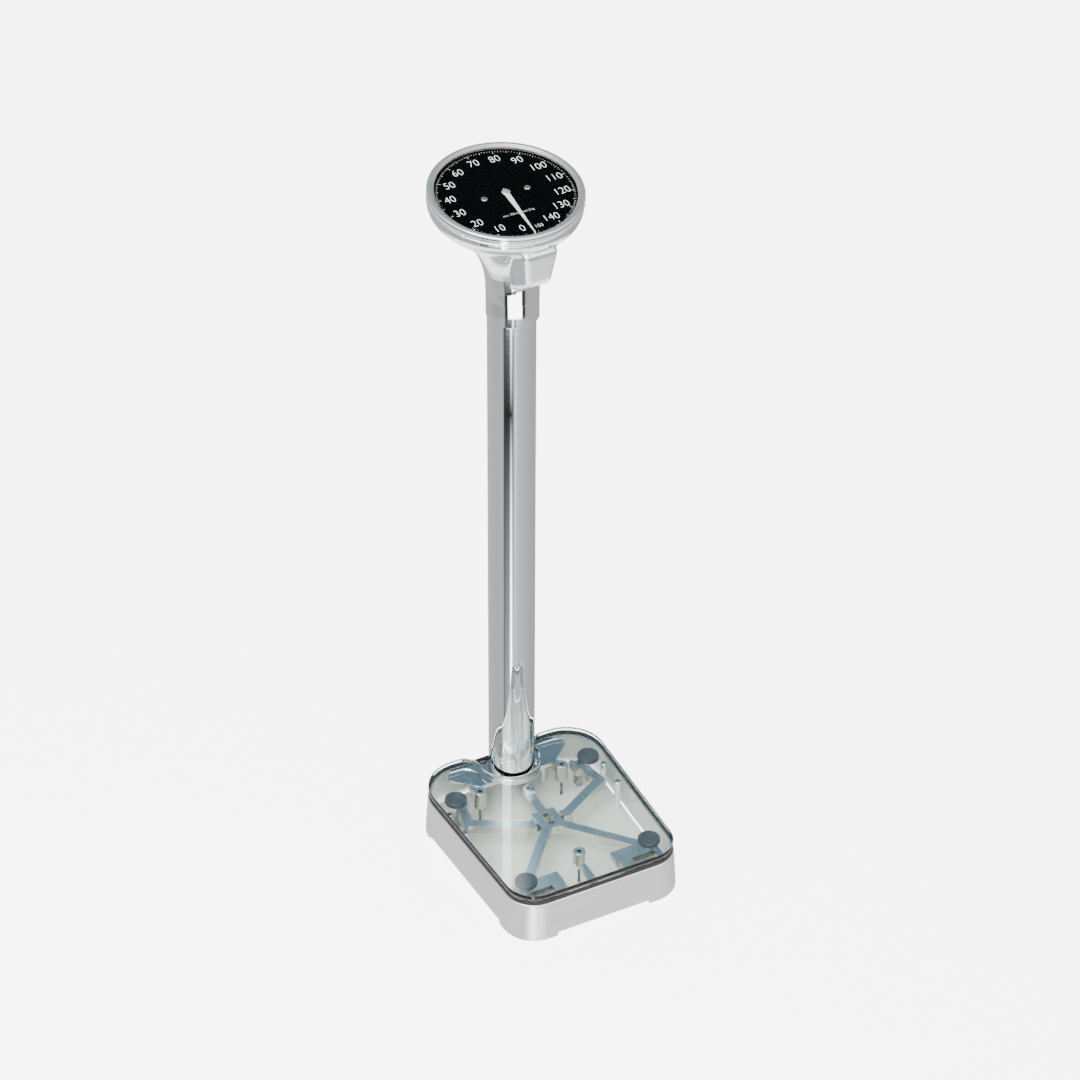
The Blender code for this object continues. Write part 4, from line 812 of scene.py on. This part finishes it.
class BuildBezel(Operator):
    """Build the bezel ring, the crystal and the bezel's screws"""
    bl_idname = "dial_scale.bezel"
    bl_label = "Bezel and crystal"

    def execute(self, context):
        sizes = context.scene.scale_sizes
        outer = half_size("bezel_ring").x
        opening = half_size("dial_crystal").x + 0.3 * MM
        top, seam = BEZEL_TOP, BEZEL_SEAM
        groove = half_size("dial_face").x + 0.4 * MM
        line = top - 4.2 * MM
        mouth = opening + 3.4 * MM
        profile = [(outer - 0.15 * MM, seam), (outer, seam + 0.15 * MM), (outer, line - 0.7 * MM),
                   (outer - 0.9 * MM, line - 0.5 * MM), (outer - 0.9 * MM, line + 0.7 * MM),
                   (outer, line + 0.9 * MM),
                   (outer + 0.1 * MM, line + 1.8 * MM), (outer - 0.3 * MM, line + 2.8 * MM),
                   (outer - 1.1 * MM, line + 3.6 * MM), (outer - 2.2 * MM, line + 4.0 * MM),
                   (outer - 3.0 * MM, top), (mouth + 1.0 * MM, top - 0.1 * MM),
                   (mouth + 0.3 * MM, top - 0.5 * MM),
                   (mouth, top - 1.0 * MM), (opening, 4.6 * MM), (groove, 0.6 * MM), (groove, seam),
                   (outer - 0.15 * MM, seam)]
        ring = lathe("bezel_turned", profile, 2 * sizes.turned_steps)
        smooth(ring, 40.0)
        dress(ring, finish("bezel"))
        ring.data.materials.append(finish("reflector"))
        ring.data.materials.append(finish("seal"))
        for face in ring.data.polygons:
            inward = face.normal.x * face.center.x + face.normal.y * face.center.y
            if inward < -0.5 * face.center.xy.length:
                face.material_index = 1
            in_groove = abs(face.center.z - line - 0.1 * MM) < 0.85 * MM
            if in_groove and outer - 1.0 * MM < face.center.xy.length < outer - 0.1 * MM:
                face.material_index = 2
        move(ring, DIAL)
        stand_for(ring, "bezel_ring")
        radius = half_size("dial_crystal").x
        lens = lathe("crystal_lens", [
            (0.0, CRYSTAL_TOP), (radius - 0.4 * MM, CRYSTAL_TOP), (radius, CRYSTAL_TOP - 0.4 * MM),
            (radius, CRYSTAL_UNDERSIDE), (0.0, CRYSTAL_UNDERSIDE)], 2 * sizes.turned_steps, DIAL)
        smooth(lens, 40.0)
        stand_for(dress(lens, finish("crystal")), "dial_crystal")
        for node in sorted(frame["nodes"]):
            if node.startswith("bezel_screw"):
                self.build_screw(node)
        return {"FINISHED"}

    def build_screw(self, node):
        """A small domed screw with a slot, standing out of the drum's side."""
        angle = math.radians(int(node.rsplit("_", 1)[1]) - 90)
        outward = Matrix.Translation((half_size("bezel_ring").x + 0.3 * MM, 0.0, -9.5 * MM))
        around = DIAL @ Matrix.Rotation(angle, 4, "Z") @ outward
        place = around @ Matrix.Rotation(math.pi / 2, 4, "Y")
        screw = slotted_head(node + "_head", 2.2 * MM, 1.8 * MM, 0.6 * MM)
        move(screw, place)
        stand_for(dress(screw, finish("steel")), node)


def slotted_head(name, radius, height, slot):
    """A domed screw head with a slot across it, standing on the XY plane."""
    steps = 5
    profile = []
    for k in range(steps + 1):
        angle = math.radians(90 * k / steps)
        profile.append((radius * math.sin(angle), height * (0.35 + 0.65 * math.cos(angle))))
    profile += [(radius, 0.0), (0.0, 0.0)]
    head = lathe(name, profile, 32)
    cutter = box_piece(name + "_slot", (-2 * radius, -slot / 2, height * 0.55),
                       (2 * radius, slot / 2, 2 * height))
    cut_away(head, cutter)
    smooth(head, 35.0)
    return head


class BuildDial(Operator):
    """Build the enamelled face with its marks, numerals and screws"""
    bl_idname = "dial_scale.dial"
    bl_label = "Dial face"

    ZERO_ANGLE = 10.0
    DEGREES_PER_KG = 2.319
    FULL_SCALE = 150
    INK_HEIGHT = 0.06 * MM
    SCREW_SPACING = 33.3 * MM
    SCREW_TURN = 55.0
    LEGEND_PLACE = Vector((-3.0 * MM, -45.0 * MM, 0.0))
    LEGEND_HEIGHT = 4.4 * MM

    def execute(self, context):
        sizes = context.scene.scale_sizes
        radius = half_size("dial_face").x
        hole = 2.6 * MM
        profile = [(hole, 0.0), (radius - 0.3 * MM, 0.0), (radius, -0.3 * MM), (radius, -FACE_THICKNESS),
                   (hole, -FACE_THICKNESS), (hole, 0.0)]
        face = lathe("face_enamelled", profile, 2 * sizes.turned_steps, DIAL)
        smooth(face, 40.0)
        stand_for(dress(face, finish("enamel")), "dial_face")
        self.build_marks(sizes)
        self.build_numerals(sizes)
        self.build_legend()
        for side, node in ((-1, "face_screw_left"), (1, "face_screw_right")):
            screw = slotted_head(node + "_head", 5.0 * MM, 2.2 * MM, 1.1 * MM)
            turn = Matrix.Rotation(math.radians(self.SCREW_TURN), 4, "Z")
            move(screw, DIAL @ Matrix.Translation((side * self.SCREW_SPACING, 0.0, 0.3 * MM)) @ turn)
            stand_for(dress(screw, finish("nickel")), node)
        return {"FINISHED"}

    def angle(self, kilograms):
        """Angle of a mark, clockwise from the user's side."""
        return math.radians(self.ZERO_ANGLE + self.DEGREES_PER_KG * kilograms)

    def build_marks(self, sizes):
        """One bar per kilogram, longer and wider at fives and tens."""
        marks = []
        outer = sizes.mark_outer
        for kilograms in range(self.FULL_SCALE + 1):
            reach, wider = 2.6 * MM, 1.0
            if kilograms % 5 == 0:
                reach, wider = 4.2 * MM, 1.4
            if kilograms % 10 == 0:
                reach, wider = 6.2 * MM, 1.8
            half = sizes.mark_width * wider / 2
            mark = box_piece("mark", (-half, -outer, 0.01 * MM), (half, reach - outer, self.INK_HEIGHT))
            move(mark, Matrix.Rotation(-self.angle(kilograms), 4, "Z"))
            marks.append(mark)
        scale = merge_pieces("dial_marks", marks)
        move(scale, DIAL)
        self.print_on_face(scale)

    def build_numerals(self, sizes):
        """Upright numerals every ten kilograms, and a small one at the end of the scale."""
        numerals = []
        for kilograms in range(0, self.FULL_SCALE + 1, 10):
            last = kilograms == self.FULL_SCALE
            height = sizes.numeral_height * (0.5 if last else 1.0)
            radius = sizes.numeral_radius + (3.0 * MM if last else 0.0)
            angle = self.angle(kilograms - (2.0 if last else 0.0))
            place = Vector((-radius * math.sin(angle), -radius * math.cos(angle), 0.0))
            numerals.append(print_text(str(kilograms), height, place))
        numbers = merge_pieces("dial_numerals", numerals)
        move(numbers, DIAL)
        self.print_on_face(numbers)

    def build_legend(self):
        """The small line that gives the scale's range."""
        words = print_text("max 150 kg   min 2 kg", self.LEGEND_HEIGHT, self.LEGEND_PLACE)
        words.name = "dial_legend"
        move(words, DIAL)
        self.print_on_face(words)

    def print_on_face(self, piece):
        belong_to(dress(piece, finish("ink")), "dial_face")


def print_text(words, cap_height, place):
    """Flat printed text centred on a place of the face."""
    bpy.ops.object.select_all(action="DESELECT")
    bpy.ops.object.text_add()
    text = name_new("print")
    text.data.body = words
    text.data.align_x = "CENTER"
    text.data.align_y = "CENTER"
    text.data.size = cap_height / 0.7
    text.data.offset = -cap_height * 0.026
    text.data.extrude = 0.025 * MM
    text.data.resolution_u = 4
    bpy.ops.object.convert(target="MESH")
    text = bpy.context.view_layer.objects.active
    narrow = Matrix.Diagonal((0.86, 1.0, 1.0, 1.0))
    move(text, Matrix.Translation(place + Vector((0.0, 0.0, 0.035 * MM))) @ narrow)
    return text


class BuildPointer(Operator):
    """Build the pointer and the movement that turns it"""
    bl_idname = "dial_scale.pointer"
    bl_label = "Pointer and movement"

    def execute(self, context):
        blade = copy_node("pointer", "pointer_blade", 0.15 * MM)
        stand_for(dress(blade, finish("pointer")), "pointer")
        boss = lathe("pointer_boss", [(0.0, 4.8 * MM), (1.4 * MM, 4.75 * MM), (1.7 * MM, 4.5 * MM),
                                      (3.8 * MM, 4.45 * MM), (5.4 * MM, 4.1 * MM), (6.2 * MM, 3.6 * MM),
                                      (6.4 * MM, 3.0 * MM), (0.0, 3.0 * MM)], 64, DIAL)
        smooth(boss, 40.0)
        belong_to(dress(boss, finish("bezel")), "pointer")
        for node in ("movement_frame", "pinion", "rack"):
            brass = copy_node(node, node + "_machined", 0.15 * MM)
            stand_for(dress(brass, finish("brass")), node)
        crank = copy_node("bell_crank", "bell_crank_machined", 0.3 * MM)
        stand_for(dress(crank, finish("steel")), "bell_crank")
        return {"FINISHED"}


# ---------------------------------------------------------------- stage

class BuildStage(Operator):
    """Build the pale floor, the soft light and the camera"""
    bl_idname = "dial_scale.stage"
    bl_label = "Stage"

    def execute(self, context):
        stage = context.scene.scale_stage
        self.build_floor(context.scene.scale_colours)
        self.build_room(stage)
        self.build_key(stage)
        self.build_camera(context.scene, stage)
        return {"FINISHED"}

    def build_floor(self, colours):
        bpy.ops.object.select_all(action="DESELECT")
        bpy.ops.mesh.primitive_plane_add(size=60.0, location=(0.0, 0.0, -0.1 * MM))
        floor = name_new("studio_floor")
        bpy.ops.object.transform_apply(location=True)
        material, tree, shader = new_material("white_seamless_paper", colours.studio_floor, 0.0, 0.9)
        shader.inputs["Specular IOR Level"].default_value = 0.0
        shader.inputs["Emission Color"].default_value = (1.0, 1.0, 1.0, 1.0)
        shader.inputs["Emission Strength"].default_value = 4.5
        floor.data.materials.append(material)
        floor.visible_glossy = False

    def build_room(self, stage):
        """A soft room, mirrored by the metal: a cool far wall, a white near one and a white floor with a dark
        figure beside a bright strip. Matt surfaces are lit by plain white."""
        world = bpy.data.worlds.new("soft_studio")
        bpy.context.scene.world = world
        world.use_nodes = True
        tree = world.node_tree
        background = tree.nodes["Background"]
        background.inputs["Strength"].default_value = ROOM_PEAK
        coordinates = add_node(tree, "ShaderNodeTexCoord")
        facing = add_node(tree, "ShaderNodeMapping", {
            "Vector": coordinates.outputs["Generated"], "Rotation": (0.0, 0.0, math.pi / 2 - stage.azimuth)})
        axes = add_node(tree, "ShaderNodeSeparateXYZ", {"Vector": facing.outputs["Vector"]})
        around = add_node(tree, "ShaderNodeMath", {0: axes.outputs["Y"], 1: axes.outputs["X"]},
                          operation="ARCTAN2")
        turn = self.ranged(tree, around.outputs["Value"], -math.pi, math.pi)
        above = self.ranged(tree, axes.outputs["Z"], FIGURE_MIDDLE, FIGURE_MIDDLE + FIGURE_HALF)
        below = self.ranged(tree, axes.outputs["Z"], FIGURE_MIDDLE, FIGURE_MIDDLE - FIGURE_HALF)
        beside = add_node(tree, "ShaderNodeMath", {0: above, 1: below}, operation="MAXIMUM")
        low = self.blend(tree, beside.outputs["Value"], self.band(tree, turn, FIGURE_BANDS),
                         self.band(tree, turn, LOW_BANDS))
        flatter = self.ranged(tree, axes.outputs["Z"], *COLLAR_START)
        gone = self.ranged(tree, axes.outputs["Z"], *COLLAR_END)
        low = self.blend(tree, flatter, low, self.band(tree, turn, COLLAR_BANDS))
        low = self.blend(tree, gone, low, self.band(tree, turn, LOW_BANDS))
        steep = self.ranged(tree, axes.outputs["Z"], -0.70, -0.80)
        low = self.blend(tree, steep, low, self.level(WHITE_FLOOR))
        low = self.blend(tree, self.ranged(tree, axes.outputs["Z"], -0.90, -0.96), low, self.level(grey(0.9)))
        high = self.band(tree, self.ranged(tree, axes.outputs["X"], -1.0, 1.0), HIGH_BANDS)
        room = self.blend(tree, self.ranged(tree, axes.outputs["Z"], -0.04, 0.04), low, high)
        path = add_node(tree, "ShaderNodeLightPath")
        mirrored = add_node(tree, "ShaderNodeMath", {0: path.outputs["Is Glossy Ray"],
                                                     1: path.outputs["Is Transmission Ray"]}, operation="ADD")
        plain = add_node(tree, "ShaderNodeMath", {0: 1.0, 1: mirrored.outputs["Value"]}, operation="SUBTRACT",
                         use_clamp=True)
        lighting = add_node(tree, "ShaderNodeMath", {
            0: plain.outputs["Value"], 1: path.outputs["Diffuse Depth"]}, operation="MAXIMUM", use_clamp=True)
        lit = self.blend(tree, lighting.outputs["Value"], room, self.level((stage.sky,) * 3))
        tree.links.new(lit, background.inputs["Color"])

    def ranged(self, tree, value, start, end):
        node = add_node(tree, "ShaderNodeMapRange", {"Value": value, "From Min": start, "From Max": end})
        return node.outputs["Result"]

    def level(self, light):
        return (*(channel / ROOM_PEAK for channel in light), 1.0)

    def band(self, tree, value, stops):
        """A ramp whose stops hold amounts of light."""
        node = add_node(tree, "ShaderNodeValToRGB", {"Fac": value})
        ramp = node.color_ramp
        while len(ramp.elements) < len(stops):
            ramp.elements.new(0.5)
        for element, (position, light) in zip(ramp.elements, stops):
            element.position = position
            element.color = self.level(light)
        return node.outputs["Color"]

    def blend(self, tree, share, first, second):
        mix = add_node(tree, "ShaderNodeMix", data_type="RGBA")
        tree.links.new(share, mix.inputs[0])
        for socket, value in ((mix.inputs[6], first), (mix.inputs[7], second)):
            if isinstance(value, bpy.types.NodeSocket):
                tree.links.new(value, socket)
            else:
                socket.default_value = value
        return mix.outputs[2]

    def build_key(self, stage):
        """One big softbox above the user's left shoulder."""
        data = bpy.data.lights.new("key_softbox", "AREA")
        data.shape = "SQUARE"
        data.size = 2.0
        data.energy = stage.key_power
        lamp = bpy.data.objects.new("key_softbox", data)
        bpy.context.scene.collection.objects.link(lamp)
        lamp.location = (-1.6, -1.2, 2.8)
        aim = Vector((0.0, 0.0, 0.3)) - lamp.location
        lamp.rotation_euler = aim.to_track_quat("-Z", "Y").to_euler()

    def build_camera(self, scene, stage):
        data = bpy.data.cameras.new("studio_camera")
        data.lens = stage.lens
        data.sensor_width = 36.0
        data.shift_x = stage.shift
        camera = bpy.data.objects.new("studio_camera", data)
        scene.collection.objects.link(camera)
        level = math.cos(stage.elevation)
        direction = Vector((math.sin(stage.azimuth) * level, -math.cos(stage.azimuth) * level,
                            math.sin(stage.elevation)))
        camera.location = Vector((0.0, AXIS_Y, stage.target_height)) + direction * stage.distance
        camera.rotation_euler = (-direction).to_track_quat("-Z", "Y").to_euler()
        scene.camera = camera


def grey(light):
    return (light, light, light * 1.01)


# Light of the room. Round the horizon: from behind the scale by the left, the camera at 0.5, back by the
# right.
ROOM_PEAK = 12.0
WHITE_FLOOR = grey(3.0)
FIGURE_MIDDLE = -0.575
FIGURE_HALF = 0.06
LOW_BANDS = (
    (0.00, grey(3.0)), (0.05, grey(0.8)), (0.30, grey(0.66)), (0.385, grey(0.70)), (0.398, grey(0.20)),
    (0.415, grey(0.5)), (0.478, grey(0.75)), (0.484, grey(10.0)), (0.500, grey(10.0)), (0.512, grey(1.2)),
    (0.60, grey(0.85)), (0.75, grey(0.66)), (0.94, grey(0.55)), (1.00, grey(3.0)))
FIGURE_BANDS = (
    (0.00, grey(3.0)), (0.05, grey(0.8)), (0.30, grey(0.70)), (0.385, grey(0.75)), (0.402, grey(0.05)),
    (0.43, grey(0.035)), (0.50, grey(0.045)), (0.525, grey(0.3)), (0.545, grey(1.6)), (0.58, grey(0.9)),
    (0.75, grey(0.66)), (0.94, grey(0.55)), (1.00, grey(3.0)))
COLLAR_START = (-0.5563, -0.5555)
COLLAR_END = (-0.530, -0.515)
COLLAR_BANDS = (
    (0.00, grey(3.0)), (0.05, grey(0.8)), (0.30, grey(0.50)), (0.385, grey(0.62)), (0.402, grey(0.06)),
    (0.432, grey(0.04)), (0.438, grey(10.0)), (0.600, grey(10.0)), (0.608, grey(0.05)), (0.640, grey(0.08)),
    (0.655, grey(0.62)), (0.80, grey(0.66)), (0.94, grey(0.55)), (1.00, grey(3.0)))
# From straight beyond the scale to straight behind the camera.
HIGH_BANDS = (
    (0.0, (0.17, 0.245, 0.32)), (0.25, (0.21, 0.29, 0.37)), (0.5, (1.0, 1.1, 1.2)), (0.8, grey(3.0)))


# ---------------------------------------------------------------- add-on

PIECES = (BuildSkirt, BuildFloorPlate, BuildLevelling, BuildBridge, BuildLevers, BuildPlatform, BuildColumn,
          BuildHead, BuildBezel, BuildDial, BuildPointer, BuildStage)


class DialScalePanel(Panel):
    """Lists the settings and the pieces of the scale"""
    bl_idname = "VIEW3D_PT_dial_scale"
    bl_label = "Dial Scale"
    bl_space_type = "VIEW_3D"
    bl_region_type = "UI"
    bl_category = "Dial Scale"

    def draw(self, context):
        layout = self.layout
        for group in (context.scene.scale_sizes, context.scene.scale_colours, context.scene.scale_stage):
            box = layout.box()
            for key in group.__annotations__:
                box.prop(group, key)
        for piece in PIECES:
            layout.operator(piece.bl_idname)


CLASSES = (ScaleColours, ScaleSizes, ScaleStage, *PIECES, DialScalePanel)


def register():
    for item in CLASSES:
        bpy.utils.register_class(item)
    bpy.types.Scene.scale_colours = PointerProperty(type=ScaleColours)
    bpy.types.Scene.scale_sizes = PointerProperty(type=ScaleSizes)
    bpy.types.Scene.scale_stage = PointerProperty(type=ScaleStage)


def unregister():
    del bpy.types.Scene.scale_stage
    del bpy.types.Scene.scale_sizes
    del bpy.types.Scene.scale_colours
    for item in reversed(CLASSES):
        bpy.utils.unregister_class(item)


def main():
    register()
    for piece in PIECES:
        group, _, operator = piece.bl_idname.partition(".")
        getattr(getattr(bpy.ops, group), operator)()


if __name__ == "__main__":
    main()
